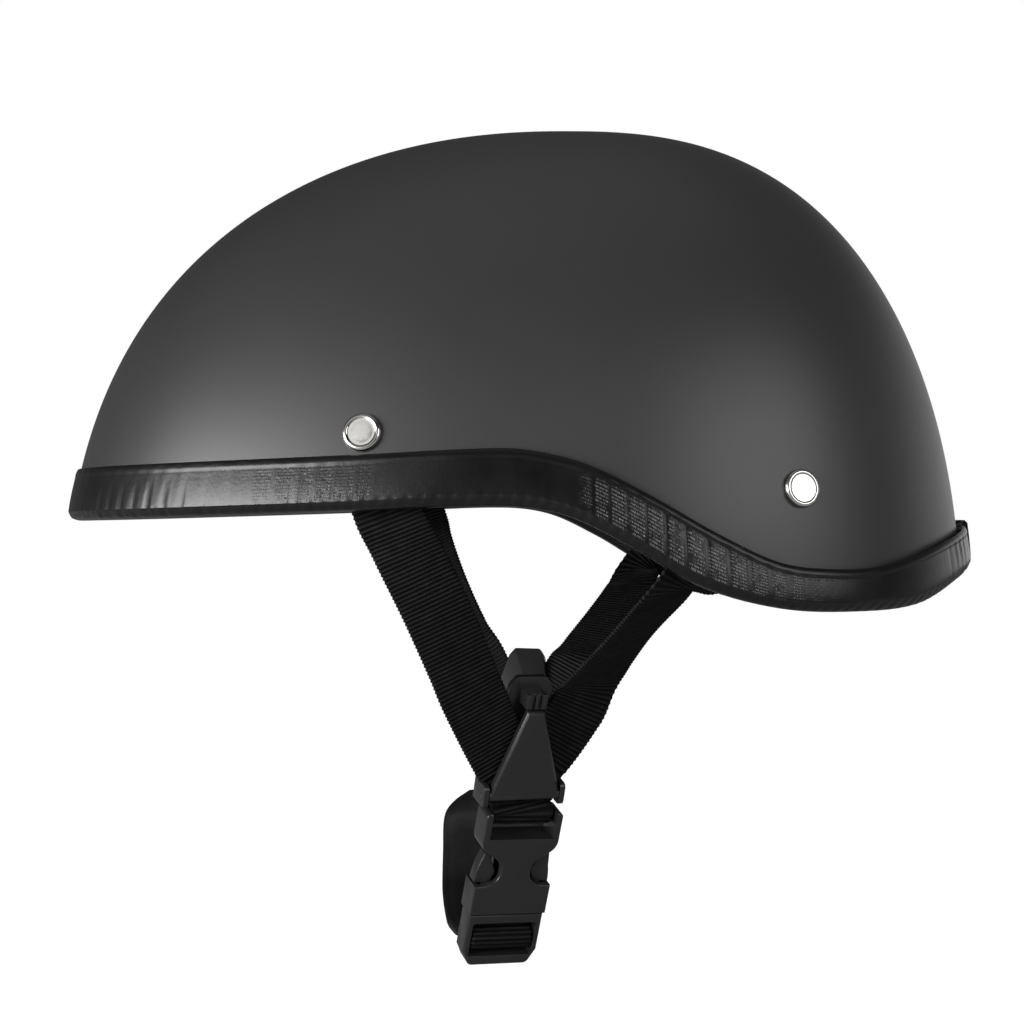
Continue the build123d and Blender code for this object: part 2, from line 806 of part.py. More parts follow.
# Buckle socket: an hourglass body whose open waist shows the prongs, under a round webbing bar
buckle_middle = socket_thickness / 2
across_bar = Plane(
    origin=buckle_plane.from_local_coords(Vector(0, -bar_drop, -bar_deep)),
    x_dir=buckle_plane.y_dir,
    z_dir=buckle_plane.x_dir,
)
cavity_depth = socket_thickness - 2 * socket_wall
with BuildPart() as buckle_socket:
    with BuildSketch(buckle_plane):
        with BuildLine():
            Polyline((0, 0), (socket_half, 0), (socket_half, -socket_shoulder))
            Spline(
                (socket_half, -socket_shoulder), (waist_flank_half, -waist_flank), (waist_half, -waist_drop),
                tangents=((0, -1), (0, -1)),
            )
            Spline((waist_half, -waist_drop), (socket_half, -window_foot), tangents=((0, -1), (1, 0)))
            Polyline((socket_half, -window_foot), (socket_half, -socket_length), (0, -socket_length))
            mirror(about=Plane.YZ)
        make_face()
        fillet(vertices().group_by(Axis.Y)[-1], socket_corner)
    extrude(amount=-socket_thickness)
    stack = buckle_socket.faces().sort_by(Axis(buckle_plane.origin, buckle_plane.z_dir))
    fillet(stack[0].edges() + stack[-1].edges(), edge_round)
    with BuildSketch(buckle_plane):
        with Locations((0, -slot_foot / 2)):
            Rectangle(2 * slot_half, slot_foot)
    extrude(amount=-socket_thickness, mode=Mode.SUBTRACT)
    with BuildSketch(across_bar):
        Circle(bar_radius)
    extrude(amount=(slot_half + socket_half) / 2, both=True)
    with BuildSketch(buckle_plane.offset(-socket_wall)):
        with Locations((0, -(cavity_top + window_foot) / 2)):
            Rectangle(2 * socket_half, window_foot - cavity_top)
        with Locations((0, -(cavity_top + socket_length) / 2)):
            Rectangle(2 * (socket_half - socket_side_wall), socket_length - cavity_top)
    extrude(amount=-cavity_depth, mode=Mode.SUBTRACT)
buckle_socket.part.label = "buckle_socket"
export_step(buckle_socket.part, "parts/buckle_socket.step")

# Male half: base and ladder frame with its crossbar, the guide tongue, and a recess for each prong root
male_top = socket_length + mouth_gap
base_foot = male_top + base_height
male_plane = buckle_plane.offset(-buckle_middle - male_thickness / 2)
across_ladder = Plane(
    origin=buckle_plane.from_local_coords(Vector(0, -crossbar_drop, -buckle_middle)),
    x_dir=buckle_plane.y_dir,
    z_dir=buckle_plane.x_dir,
)
with BuildPart() as buckle_male:
    with BuildSketch(male_plane):
        with BuildLine():
            Polyline(
                (0, -male_top),
                (male_half, -male_top),
                (male_half, -male_knee),
                (male_foot_half, -male_foot),
                (0, -male_foot),
            )
            mirror(about=Plane.YZ)
        make_face()
        fillet(vertices().group_by(Axis.Y)[0], male_corner)
    extrude(amount=male_thickness)
    ends = buckle_male.faces().sort_by(Axis(buckle_plane.origin, buckle_plane.z_dir))
    chamfer(ends[0].edges() + ends[-1].edges(), edge_round)
    with BuildSketch(male_plane):
        with Locations((0, -(base_foot + ladder_foot) / 2)):
            RectangleRounded(2 * ladder_half, ladder_foot - base_foot, ladder_corner)
    extrude(amount=male_thickness, mode=Mode.SUBTRACT)
    with BuildSketch(across_ladder):
        Circle(crossbar_radius)
    extrude(amount=(ladder_half + male_half) / 2, both=True)
    with BuildSketch(buckle_plane.offset(-buckle_middle - tongue_thickness / 2)):
        with Locations((0, -(tongue_tip + male_top) / 2)):
            Rectangle(2 * tongue_half, male_top - tongue_tip)
        fillet(vertices().group_by(Axis.Y)[-1], tongue_corner)
    extrude(amount=tongue_thickness)
    with BuildSketch(buckle_plane.offset(-buckle_middle - prong_thickness / 2 - prong_root_play)):
        with Locations((prong_place, -prong_root_drop), (-prong_place, -prong_root_drop)):
            Circle(prong_root + prong_root_play)
    extrude(amount=prong_thickness + 2 * prong_root_play, mode=Mode.SUBTRACT)
buckle_male.part.label = "buckle_male"
export_step(buckle_male.part, "parts/buckle_male.step")

# Prongs: a root disc, a slim arm and a barb that rests on the foot of the socket's window
arm_in = prong_place - prong_arm / 2
arm_out = prong_place + prong_arm / 2
with BuildPart() as prong_rear:
    with BuildSketch(buckle_plane.offset(-buckle_middle - prong_thickness / 2)):
        with BuildLine():
            Line((arm_out, -prong_root_drop), (arm_out, -prong_barb_drop))
            Line((arm_out, -prong_barb_drop), (prong_barb, -prong_barb_drop))
            TangentArc(
                (prong_barb, -prong_barb_drop),
                (prong_tip_place + prong_blade / 2, -prong_tip - prong_blade / 2),
                tangent=(0, 1),
            )
            ThreePointArc(
                (prong_tip_place + prong_blade / 2, -prong_tip - prong_blade / 2),
                (prong_tip_place, -prong_tip),
                (prong_tip_place - prong_blade / 2, -prong_tip - prong_blade / 2),
            )
            Polyline(
                (prong_tip_place - prong_blade / 2, -prong_tip - prong_blade / 2),
                (prong_knuckle, -prong_knuckle_drop),
                (arm_in, -prong_barb_drop - prong_heel),
                (arm_in, -prong_root_drop),
                (arm_out, -prong_root_drop),
            )
        make_face()
        with Locations((prong_place, -prong_root_drop)):
            Circle(prong_root)
    extrude(amount=prong_thickness)
prong_rear.part.label = "prong_rear"
export_step(prong_rear.part, "parts/prong_rear.step")

with BuildPart() as prong_front:
    mirror(prong_rear.part, about=Plane(origin=buckle_plane.origin, z_dir=buckle_plane.x_dir))
prong_front.part.label = "prong_front"
export_step(prong_front.part, "parts/prong_front.step")

# Chin strap: sewn behind the right strap's fold, through the pad, round the ladder bar and back
backing_layer = inner_layer + strap_thickness + layer_gap
stitch_local = divider_plane.from_local_coords(Vector(loop_aside, -chin_stitch, -backing_layer))
head_local = divider_plane.from_local_coords(Vector(loop_aside, -chin_head, -backing_layer))
stitch_point = Vector(-stitch_local.X, stitch_local.Y, stitch_local.Z)
head_point = Vector(-head_local.X, head_local.Y, head_local.Z)
stitch_across = Vector(-divider_plane.x_dir.X, divider_plane.x_dir.Y, divider_plane.x_dir.Z)
ladder_point = buckle_plane.from_local_coords(Vector(0, -crossbar_drop + ladder_leg, -ladder_end))


# Centre, width direction and run of the chin strap's sag at a place across
def chin_curve(across):
    if across < 0:
        anchor, width_end, power = stitch_point, stitch_across, chin_power
    else:
        anchor, width_end, power = ladder_point, buckle_plane.x_dir, near_power
    share = across / anchor.X
    centre = Vector(
        across, between(-chin_forward, anchor.Y, share ** 2), between(-chin_low, anchor.Z, share ** power)
    )
    slope = (anchor.Z + chin_low) * power * share ** (power - 1) / anchor.X
    drift = 2 * (anchor.Y + chin_forward) * share / anchor.X
    run = Vector(1, drift, slope).normalized()
    return centre, Vector(0, 1, 0) * (1 - share ** 2) + width_end * share ** 2, run


chin_reach = -stitch_point.X
pad_stations = []
sleeve_stations = []
chin_stations = []
for share, width_share in chin_pad_shares:
    centre, width_dir, run = chin_curve(-share * chin_reach)
    shift = width_dir * -pad_shift * max(share, 0)
    thinning = min(1, (1 - width_share) / (1 - chin_pad_shares[-1][1]))
    thickness = between(chin_pad_thickness, pad_end_thickness, thinning ** 2)
    pad_stations.append((centre + shift, width_dir, run, pad_width * width_share, thickness))
    chin_stations.append((centre, width_dir, run, strap_width, strap_thickness))
    sleeve_stations.append(
        (centre, width_dir, run, strap_width + 2 * pad_sleeve_gap, strap_thickness + 2 * pad_sleeve_gap)
    )
first, last = sleeve_stations[0], sleeve_stations[-1]
sleeve_stations.insert(0, (first[0] - first[2] * pad_overrun, *first[1:]))
sleeve_stations.append((last[0] + last[2] * pad_overrun, *last[1:]))
with BuildPart() as chin_pad:
    add(ribbon(pad_stations))
    add(ribbon(sleeve_stations), mode=Mode.SUBTRACT)
chin_pad.part.label = "chin_pad"
export_step(chin_pad.part, "parts/chin_pad.step")

ladder_turn = []
for index in range(loop_count + 1):
    angle = pi * index / loop_count
    drop = -crossbar_drop + ladder_span * cos(angle)
    deep = -buckle_middle + ladder_span * sin(angle)
    ladder_turn.append(buckle_plane.from_local_coords(Vector(0, drop, deep)))
near_places = [chin_curve(share * ladder_point.X)[:2] for share in near_shares]
tail_leg = buckle_plane.from_local_coords(Vector(0, -crossbar_drop - ladder_leg, -tail_exit))
fold_places = [(centre, across, strap_width) for centre, across in near_places]
for centre in [ladder_point, *ladder_turn, tail_leg]:
    fold_places.append((centre, buckle_plane.x_dir, strap_width))
for place in tail_places:
    centre, across, run = chin_curve(place)
    fold_places.append((centre - run.cross(across) * tail_below, across, strap_width))
head_run = (stitch_point - head_point).normalized()
head = [
    (head_point, stitch_across, head_run, strap_width, strap_thickness),
    (stitch_point, stitch_across, head_run, strap_width, strap_thickness),
]
with BuildPart() as chin_strap:
    add(ribbon(head + chin_stations + webbing(fold_places)))
chin_strap.part.label = "chin_strap"
export_step(chin_strap.part, "parts/chin_strap.step")

# Keeper: a loop round the load strap and the tail
keeper_centre, keeper_across, keeper_run = chin_curve(keeper_place)
keeper_normal = keeper_run.cross(keeper_across)
keeper_inside = tail_below + strap_thickness + 2 * keeper_play
with BuildPart() as strap_keeper:
    with BuildSketch(
        Plane(origin=keeper_centre - keeper_normal * tail_below / 2, x_dir=keeper_across, z_dir=keeper_run)
    ):
        Rectangle(strap_width + 2 * keeper_play + 2 * keeper_wall, keeper_inside + 2 * keeper_wall)
        Rectangle(strap_width + 2 * keeper_play, keeper_inside, mode=Mode.SUBTRACT)
    extrude(amount=keeper_length / 2, both=True)
strap_keeper.part.label = "strap_keeper"
export_step(strap_keeper.part, "parts/strap_keeper.step")
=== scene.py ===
import math

import bmesh
import bpy
import numpy as np
from mathutils import Matrix, Vector


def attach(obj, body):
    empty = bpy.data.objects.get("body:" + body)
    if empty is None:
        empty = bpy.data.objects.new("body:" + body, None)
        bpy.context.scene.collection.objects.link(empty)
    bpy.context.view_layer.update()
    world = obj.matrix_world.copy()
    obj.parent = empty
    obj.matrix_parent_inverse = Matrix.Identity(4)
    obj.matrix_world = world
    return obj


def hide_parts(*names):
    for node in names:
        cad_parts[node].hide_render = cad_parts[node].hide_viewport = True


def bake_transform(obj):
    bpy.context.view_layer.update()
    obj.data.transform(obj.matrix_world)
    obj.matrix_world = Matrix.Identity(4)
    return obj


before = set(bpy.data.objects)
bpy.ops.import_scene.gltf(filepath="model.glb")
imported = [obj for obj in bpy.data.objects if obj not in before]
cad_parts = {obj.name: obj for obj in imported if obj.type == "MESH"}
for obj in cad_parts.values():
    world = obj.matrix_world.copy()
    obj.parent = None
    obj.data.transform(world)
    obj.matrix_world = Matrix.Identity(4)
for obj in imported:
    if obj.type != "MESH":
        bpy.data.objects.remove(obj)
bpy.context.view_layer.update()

mm = 0.001
# the dome's field: how near its ends it is worked out, how steeply it grows beyond them, and how rays find it
almostAll = 0.999999
steepBeyond = 1e4
longestRay = 300.0
halvings = 34

# The dome of the shell, in millimetres: the same values as the part's source
dome = {
    "frontReach": 157.8,
    "rearReach": 127.0,
    "halfWidth": 108.0,
    "height": 161.9,
    "baseDrop": 40.0,
    "setBack": 13.65,
    "frontPowers": (2.18, 2.485),
    "rearPowers": (2.606, 2.184),
    "frontPlan": 2.6,
    "rearPlan": 2.2,
    "arch": 2.25,
    "wall": 4.0,
}

# Rim line and crest of the trim: height above the opening's plane, as shares of the drop to the nape
rimLine = {
    "reach": 145.0,
    "drop": 30.0,
    "footHigh": 1.6,
    "crestHigh": 17.6,
    "foot": [
        (-1.4, 0.16), (-1.0, 0.15), (-0.7, 0.11), (-0.35, 0.055), (-0.04, 0.0), (0.08, 0.08), (0.2, 0.35),
        (0.34, 0.74), (0.5, 0.955), (0.66, 1.0), (0.8, 0.95), (0.92, 0.73), (1.0, 0.62), (1.4, 0.5),
    ],
    "crest": [
        (-1.4, 0.16), (-1.0, 0.15), (-0.7, 0.12), (-0.33, 0.06), (-0.05, 0.0), (0.03, 0.03),
        (0.13, 0.16), (0.24, 0.42), (0.38, 0.8), (0.5, 1.06), (0.61, 1.125), (0.7, 1.11),
        (0.8, 1.0), (0.88, 0.87), (1.0, 0.7), (1.4, 0.5),
    ],
}


def smoothStep(value, low, high):
    # 0 below low, 1 above high, and a smooth cubic between
    share = np.clip((value - low) / (high - low), 0, 1)
    return share * share * (3 - 2 * share)


def window(value, rising, falling):
    # 1 between the two smooth steps, 0 outside them
    return smoothStep(value, *rising) * (1 - smoothStep(value, *falling))


def unit(vectors):
    return vectors / np.linalg.norm(vectors, axis=-1, keepdims=True)


def fullTurn(count):
    return np.linspace(0, 2 * np.pi, count, endpoint=False)


def roundPower(turn, power):
    # a cosine and a sine, drawn towards a rectangle's sides by a power below 1
    cosine, sine = np.cos(turn), np.sin(turn)
    return np.sign(cosine) * np.abs(cosine) ** power, np.sign(sine) * np.abs(sine) ** power


def domeField(x, y, z, offset):
    # |x / half|^arch + |(z + drop) / height|^arch, with half and height shrinking to both ends: 1 on the face
    rear = y > dome["setBack"]
    reach = np.where(rear, dome["rearReach"], dome["frontReach"]) + offset
    away = np.abs(y - dome["setBack"]) / reach
    share = np.minimum(away, almostAll)
    plan = np.where(rear, dome["rearPlan"], dome["frontPlan"])
    first = np.where(rear, dome["rearPowers"][0], dome["frontPowers"][0])
    second = np.where(rear, dome["rearPowers"][1], dome["frontPowers"][1])
    half = (dome["halfWidth"] + offset) * (1 - share ** plan) ** (1 / plan)
    height = (dome["height"] + offset) * (1 - share ** first) ** (1 / second)
    rise = np.abs((z + dome["baseDrop"]) / height)
    return np.abs(x / half) ** dome["arch"] + rise ** dome["arch"] + np.maximum(away - 1, 0) * steepBeyond


def reachOut(start, direction, offset):
    # where rays from start leave the dome's face, by halving the span that holds it
    near = np.zeros(direction.shape[:-1])
    far = near + longestRay
    for _ in range(halvings):
        middle = (near + far) / 2
        point = start + direction * middle[..., None]
        within = domeField(point[..., 0], point[..., 1], point[..., 2], offset) < 1
        near = np.where(within, middle, near)
        far = np.where(within, far, middle)
    return start + direction * near[..., None]


def sidePoint(place, height, offset=0.0):
    # the dome's face on the wearer's left, straight out from the middle plane
    return reachOut(np.array([0, place, height]), np.array([1.0, 0, 0]), offset)


def sideNormal(place, height):
    # the cross product of two chords of the face that reach half a millimetre to each side of the point
    along = sidePoint(place + 0.5, height) - sidePoint(place - 0.5, height)
    up = sidePoint(place, height + 0.5) - sidePoint(place, height - 0.5)
    return unit(np.cross(along, up))


def cubic(step, start, slopeStart, end, slopeEnd):
    # the smooth cubic from start to end that leaves and arrives with the given slopes, at step 0 to 1
    return (
        (2 * step ** 3 - 3 * step ** 2 + 1) * start + (step ** 3 - 2 * step ** 2 + step) * slopeStart
        + (3 * step ** 2 - 2 * step ** 3) * end + (step ** 3 - step ** 2) * slopeEnd
    )


def lineHeight(line, place):
    # a smooth cubic through the line's shares, at places along Y
    knots = np.array(rimLine[line])
    share = place / rimLine["reach"]
    index = np.clip(np.searchsorted(knots[:, 0], share) - 1, 1, len(knots) - 3)
    before, start, end, after = (knots[index + step] for step in (-1, 0, 1, 2))
    span = end[..., 0] - start[..., 0]
    step = (share - start[..., 0]) / span
    slopeStart = (end[..., 1] - before[..., 1]) / (end[..., 0] - before[..., 0]) * span
    slopeEnd = (after[..., 1] - start[..., 1]) / (after[..., 0] - start[..., 0]) * span
    drop = cubic(step, start[..., 1], slopeStart, end[..., 1], slopeEnd)
    return rimLine[line + "High"] - drop * rimLine["drop"]


def rimPoints(turn, offset, crestShare, lift):
    # points round the rim at turns from the rear; crestShare 0 is the foot line and 1 the crest line
    turn, offset, crestShare, lift = np.broadcast_arrays(turn, offset, crestShare, lift)
    outward = np.stack([np.sin(turn), np.cos(turn), np.zeros_like(turn)], -1)
    height = np.zeros_like(turn) + rimLine["footHigh"]
    for _ in range(3):
        start = np.stack([np.zeros_like(turn), np.full_like(turn, dome["setBack"]), height], -1)
        point = reachOut(start, outward, offset)
        foot = lineHeight("foot", point[..., 1])
        crest = lineHeight("crest", point[..., 1])
        height = foot * (1 - crestShare) + crest * crestShare + lift
    return np.concatenate([point[..., :2], height[..., None]], -1)


def addObject(name, data):
    added = bpy.data.objects.new(name, data)
    bpy.context.scene.collection.objects.link(added)
    return added


def smooth(mesh):
    mesh.polygons.foreach_set("use_smooth", np.ones(len(mesh.polygons), dtype=bool))
    mesh.update()


def meshFrom(name, points, closeAlong=False, closeRound=False, capEnds=False, uv=None):
    # a grid of points along by round, in millimetres, as quads; caps fan its open ends
    along, around = points.shape[:2]
    vertices = points.reshape(-1, 3) * mm
    rows = np.arange(along if closeAlong else along - 1)
    columns = np.arange(around if closeRound else around - 1)
    row, column = np.meshgrid(rows, columns, indexing="ij")
    nextRow, nextColumn = (row + 1) % along, (column + 1) % around
    quads = np.stack([
        row * around + column, row * around + nextColumn,
        nextRow * around + nextColumn, nextRow * around + column,
    ], -1).reshape(-1, 4)
    faces = quads.tolist()
    if capEnds:
        faces.append(list(range(around))[::-1])
        faces.append(list(range((along - 1) * around, along * around)))
    mesh = bpy.data.meshes.new(name)
    mesh.from_pydata(vertices.tolist(), [], faces)
    if uv is not None:
        layer = mesh.uv_layers.new(name="lay")
        loops = np.empty(len(mesh.loops), dtype=np.int32)
        mesh.loops.foreach_get("vertex_index", loops)
        values = uv.reshape(-1, 2)[loops]
        if closeRound:
            # where the last column meets the first, the lay runs one step on instead of jumping back
            corners = loops[:quads.size]
            late = np.repeat(quads[:, 0] % around == around - 1, 4) & (corners % around == 0)
            beyond = 2 * uv[:, -1, 1] - uv[:, -2, 1]
            values[:quads.size][late, 1] = beyond[corners[late] // around]
        layer.data.foreach_set("uv", values.ravel())
    smooth(mesh)
    return addObject(name, mesh)


def faceOutwards(piece, merge=1e-6):
    # turns every face outwards, after merging the doubles unless the lay of a weave would suffer
    shape = bmesh.new()
    shape.from_mesh(piece.data)
    if merge:
        bmesh.ops.remove_doubles(shape, verts=shape.verts, dist=merge)
    bmesh.ops.recalc_face_normals(shape, faces=shape.faces)
    shape.to_mesh(piece.data)
    shape.free()
    piece.data.update()


def linear(code):
    # an sRGB hex code as linear red, green, blue and alpha
    parts = [int(code[place:place + 2], 16) / 255 for place in (0, 2, 4)]
    return (*(part / 12.92 if part <= 0.04045 else ((part + 0.055) / 1.055) ** 2.4 for part in parts), 1.0)


def addNode(tree, kind, settings=None, links=None):
    # a shader node with its settings (its own properties, or else its inputs) and what feeds its inputs
    node = tree.nodes.new("ShaderNode" + kind)
    for name, value in (settings or {}).items():
        if isinstance(name, str) and hasattr(node, name):
            setattr(node, name, value)
        else:
            node.inputs[name].default_value = value
    for name, socket in (links or {}).items():
        tree.links.new(socket, node.inputs[name])
    return node


def combine(tree, operation, *operands):
    # a math node whose operands are sockets or plain numbers
    node = addNode(tree, "Math", {"operation": operation})
    for place, operand in enumerate(operands):
        if isinstance(operand, bpy.types.NodeSocket):
            tree.links.new(operand, node.inputs[place])
        else:
            node.inputs[place].default_value = operand
    return node.outputs[0]


def texture(tree, kind, size, settings=None):
    # a pattern on the object's own coordinates, with its grain in metres
    place = addNode(tree, "TexCoord").outputs["Object"]
    node = addNode(tree, "Tex" + kind, {"Scale": 1 / size, **(settings or {})}, {"Vector": place})
    return node.outputs["Distance" if kind == "Voronoi" else "Fac"]


def startMaterial(name, settings):
    material = bpy.data.materials.new(name)
    material.use_nodes = True
    tree = material.node_tree
    tree.nodes.clear()
    shader = addNode(tree, "BsdfPrincipled", settings)
    addNode(tree, "OutputMaterial", {}, {"Surface": shader.outputs["BSDF"]})
    return material, tree, shader


def feed(tree, shader, name, low, high, source):
    # drives one of the shader's sockets with a pattern, from low to high
    span = addNode(tree, "MapRange", {"To Min": low, "To Max": high}, {"Value": source})
    tree.links.new(span.outputs["Result"], shader.inputs[name])


def tint(tree, shader, dark, light, source):
    # mixes two sRGB colours with a pattern, into the base colour
    mix = addNode(tree, "Mix", {"data_type": "RGBA"}, {})
    mix.inputs[6].default_value = linear(dark)
    mix.inputs[7].default_value = linear(light)
    tree.links.new(source, mix.inputs[0])
    tree.links.new(mix.outputs[2], shader.inputs["Base Color"])


def relief(tree, shader, source, distance, strength=1.0, under=None):
    # turns a pattern into relief of the given depth in metres
    links = {"Height": source}
    if under is not None:
        links["Normal"] = under
    bump = addNode(tree, "Bump", {"Strength": strength, "Distance": distance}, links)
    tree.links.new(bump.outputs["Normal"], shader.inputs["Normal"])
    return bump.outputs["Normal"]


print("camera, floor and lights")
camera = addObject("camera", bpy.data.cameras.new("camera"))
camera.location = (0.7, -0.0026, 0.0)
camera.rotation_euler = (math.pi / 2, 0, math.pi / 2)
camera.data.lens = 75.72
camera.data.sensor_width = 36
camera.data.clip_start = 0.01
bpy.context.scene.camera = camera
bpy.context.scene.view_settings.view_transform = "Standard"

studio = {
    "lamps": [
        # name, place, size, watts
        ("frontSide", (0.73, -0.97, 0.12), (0.95, 0.56), 19.0),
        ("frontHigh", (1.05, -0.5, 0.6), (0.34, 0.34), 0.3),
        ("rearSide", (0.86, 0.84, 0.4), (0.95, 0.6), 4.4),
        ("above", (0.1, 0.1, 1.3), (1.2, 1.2), 0.6),
    ],
    "skyForSurfaces": 1.0,
    "ceilingForSurfaces": 0.3,
    "ceilingLevel": 0.1,
    # dark things in the reflected room: heading, how nearly one faces them where they start, and their level
    "dark": [((0.75, 0.66, 0.0), 0.15, 0.06), ((-0.8, -0.6, 0.0), 0.45, 0.12)],
    "fade": 0.5,
    "floorDrop": -0.168,
    "floorSpan": 6,
    "floorGlow": 0.9,
    "floorInGloss": 0.08,
}
for name, place, size, watts in studio["lamps"]:
    lamp = bpy.data.lights.new(name, "AREA")
    lamp.shape = "RECTANGLE"
    lamp.size, lamp.size_y = size
    lamp.energy = watts
    holder = addObject(name, lamp)
    holder.location = place
    holder.rotation_euler = (Vector((0, 0, 0)) - Vector(place)).to_track_quat("-Z", "Y").to_euler()

world = bpy.data.worlds.new("paleRoom")
world.use_nodes = True
bpy.context.scene.world = world
tree = world.node_tree
tree.nodes.clear()
rays = addNode(tree, "LightPath")
seen = combine(tree, "MAXIMUM", rays.outputs["Is Camera Ray"], rays.outputs["Is Transmission Ray"])
mirrored = combine(tree, "MAXIMUM", seen, rays.outputs["Is Glossy Ray"])
heading = addNode(tree, "TexCoord").outputs["Generated"]
upward = addNode(tree, "SeparateXYZ", {}, {"Vector": heading}).outputs["Z"]


def fadeTo(tree, source, first, level):
    # full light up to first, and only level where the source is larger by the fade
    fade = addNode(tree, "MapRange", {
        "interpolation_type": "SMOOTHSTEP", "From Min": first, "From Max": first + studio["fade"],
        "To Min": 1.0, "To Max": level,
    }, {"Value": source})
    return fade.outputs["Result"]


# what gloss sees: white walls, a dim ceiling, a dark doorway behind on the left, a curtain ahead on the right
ceiling = fadeTo(tree, upward, 0.0, studio["ceilingLevel"])
room = ceiling
for toward, first, level in studio["dark"]:
    near = addNode(tree, "VectorMath", {"operation": "DOT_PRODUCT"}, {0: heading})
    near.inputs[1].default_value = toward
    room = combine(tree, "MULTIPLY", room, fadeTo(tree, near.outputs["Value"], first, level))
glossLevel = combine(tree, "MAXIMUM", room, seen)
softLevel = addNode(tree, "MapRange", {
    "From Min": studio["ceilingLevel"],
    "To Min": studio["ceilingForSurfaces"], "To Max": studio["skyForSurfaces"],
}, {"Value": ceiling})
skyLevel = addNode(tree, "MapRange", {}, {
    "Value": mirrored, "To Min": softLevel.outputs["Result"], "To Max": glossLevel,
})
sky = addNode(tree, "Background", {"Color": (1, 1, 1, 1)}, {"Strength": skyLevel.outputs["Result"]})
addNode(tree, "OutputWorld", {}, {"Surface": sky.outputs[0]})

floorMesh = bpy.data.meshes.new("floor")
span = studio["floorSpan"]
corners = [(-span, -span, 0), (span, -span, 0), (span, span, 0), (-span, span, 0)]
floorMesh.from_pydata(corners, [], [(0, 1, 2, 3)])
floorMesh.transform(Matrix.Translation((0, 0, studio["floorDrop"])))
floor = addObject("floor", floorMesh)

print("materials")


def matteShell():
    # ABS, injection moulded and sprayed satin black: a soft wide gloss over a very fine orange peel
    material, tree, shader = startMaterial("satinPaintedAbs", {
        "Base Color": linear("292929"), "Roughness": 0.42, "IOR": 1.5, "Specular IOR Level": 0.75,
    })
    peel = texture(tree, "Noise", 0.0012, {"Detail": 2.0})
    cloudy = texture(tree, "Noise", 0.06, {"Detail": 3.0})
    feed(tree, shader, "Roughness", 0.38, 0.47, cloudy)
    tint(tree, shader, "272727", "2c2c2c", cloudy)
    relief(tree, shader, peel, 0.00003, 0.5)
    return material


def leatherette():
    # PVC leathercloth, embossed with a fine pebble and crinkled into short ribs where it is bent, the ribs'
    # tops given a painted highlight: a wet gloss
    material, tree, shader = startMaterial("embossedPvcLeathercloth", {
        "Base Color": linear("0a0a0a"), "Roughness": 0.28, "IOR": 1.53, "Specular IOR Level": 0.42,
    })
    pebble = texture(tree, "Voronoi", 0.0011, {"feature": "SMOOTH_F1"})
    cloudy = texture(tree, "Noise", 0.009, {"Detail": 4.0})
    feed(tree, shader, "Roughness", 0.24, 0.38, cloudy)
    tint(tree, shader, "070707", "0e0e0e", cloudy)
    # short ribs 1.9 mm long in rows 0.95 mm apart, where the attribute says that the trim is bent
    lay = addNode(tree, "UVMap", {"uv_map": "lay"})
    dashes = addNode(tree, "TexBrick", {
        "Scale": 1.0, "Brick Width": 1.9, "Row Height": 0.95, "Mortar Size": 0.24, "Mortar Smooth": 0.5,
        "Color1": (1, 1, 1, 1), "Color2": (0.55, 0.55, 0.55, 1), "Mortar": (0, 0, 0, 1),
    }, {"Vector": lay.outputs["UV"]})
    bent = addNode(tree, "Attribute", {"attribute_name": "ribsAndHighlight"})
    patchy = texture(tree, "Noise", 0.0026, {"Detail": 2.0})
    ribAndHighlightZone = addNode(tree, "MapRange", {"From Min": 0.33, "From Max": 0.5}, {"Value": patchy})
    ribAndHighlightMask = combine(tree, "MULTIPLY", ribAndHighlightZone.outputs["Result"], bent.outputs["Fac"])
    ribs = combine(tree, "MULTIPLY", dashes.outputs["Color"], ribAndHighlightMask)
    grain = relief(tree, shader, pebble, 0.00004, 0.5)
    relief(tree, shader, ribs, 0.00035, 1.0, grain)
    # painted highlight: where the ribs stand, the base colour is lightened towards 565656 whatever the light
    paintedHighlight = addNode(tree, "Mix", {"data_type": "RGBA"}, {0: ribs})
    tree.links.new(shader.inputs["Base Color"].links[0].from_socket, paintedHighlight.inputs[6])
    paintedHighlight.inputs[7].default_value = linear("565656")
    tree.links.new(paintedHighlight.outputs[2], shader.inputs["Base Color"])
    return material


def webbing():
    # polyester webbing, woven flat: cross ribs 1.3 mm apart (in the mesh), yarns 0.9 mm apart, a dull sheen
    material, tree, shader = startMaterial("wovenPolyester", {
        "Base Color": linear("0d0d0e"), "Roughness": 0.6, "IOR": 1.5, "Specular IOR Level": 0.1,
    })
    lay = addNode(tree, "UVMap", {"uv_map": "lay"})
    apart = addNode(tree, "SeparateXYZ", {}, {"Vector": lay.outputs["UV"]})
    ribs = combine(tree, "COSINE", combine(tree, "MULTIPLY", apart.outputs["X"], 2 * math.pi / 1.3))
    yarns = combine(tree, "SINE", combine(tree, "MULTIPLY", apart.outputs["Y"], 2 * math.pi / 0.9))
    weave = combine(tree, "MULTIPLY_ADD", ribs, yarns, 0.5)
    cloudy = texture(tree, "Noise", 0.004, {"Detail": 3.0})
    # the ribs' crests are painted paler than the grooves between them: painted shade in the grooves
    crest = addNode(tree, "MapRange", {"From Min": -0.5}, {"Value": ribs})
    tint(tree, shader, "040404", "2c2c2d", combine(tree, "MULTIPLY", crest.outputs["Result"], cloudy))
    relief(tree, shader, weave, 0.00005, 0.5)
    return material


def mouldedAcetal():
    # acetal, injection moulded in a spark-eroded tool: a grey-black semi-gloss with a fine even grain
    material, tree, shader = startMaterial("mouldedAcetal", {
        "Base Color": linear("222223"), "Roughness": 0.26, "IOR": 1.48, "Specular IOR Level": 0.5,
    })
    grain = texture(tree, "Noise", 0.0006, {"Detail": 2.0})
    cloudy = texture(tree, "Noise", 0.012, {"Detail": 2.0})
    feed(tree, shader, "Roughness", 0.2, 0.3, cloudy)
    tint(tree, shader, "1e1e1f", "252526", cloudy)
    relief(tree, shader, grain, 0.00003, 0.45)
    return material


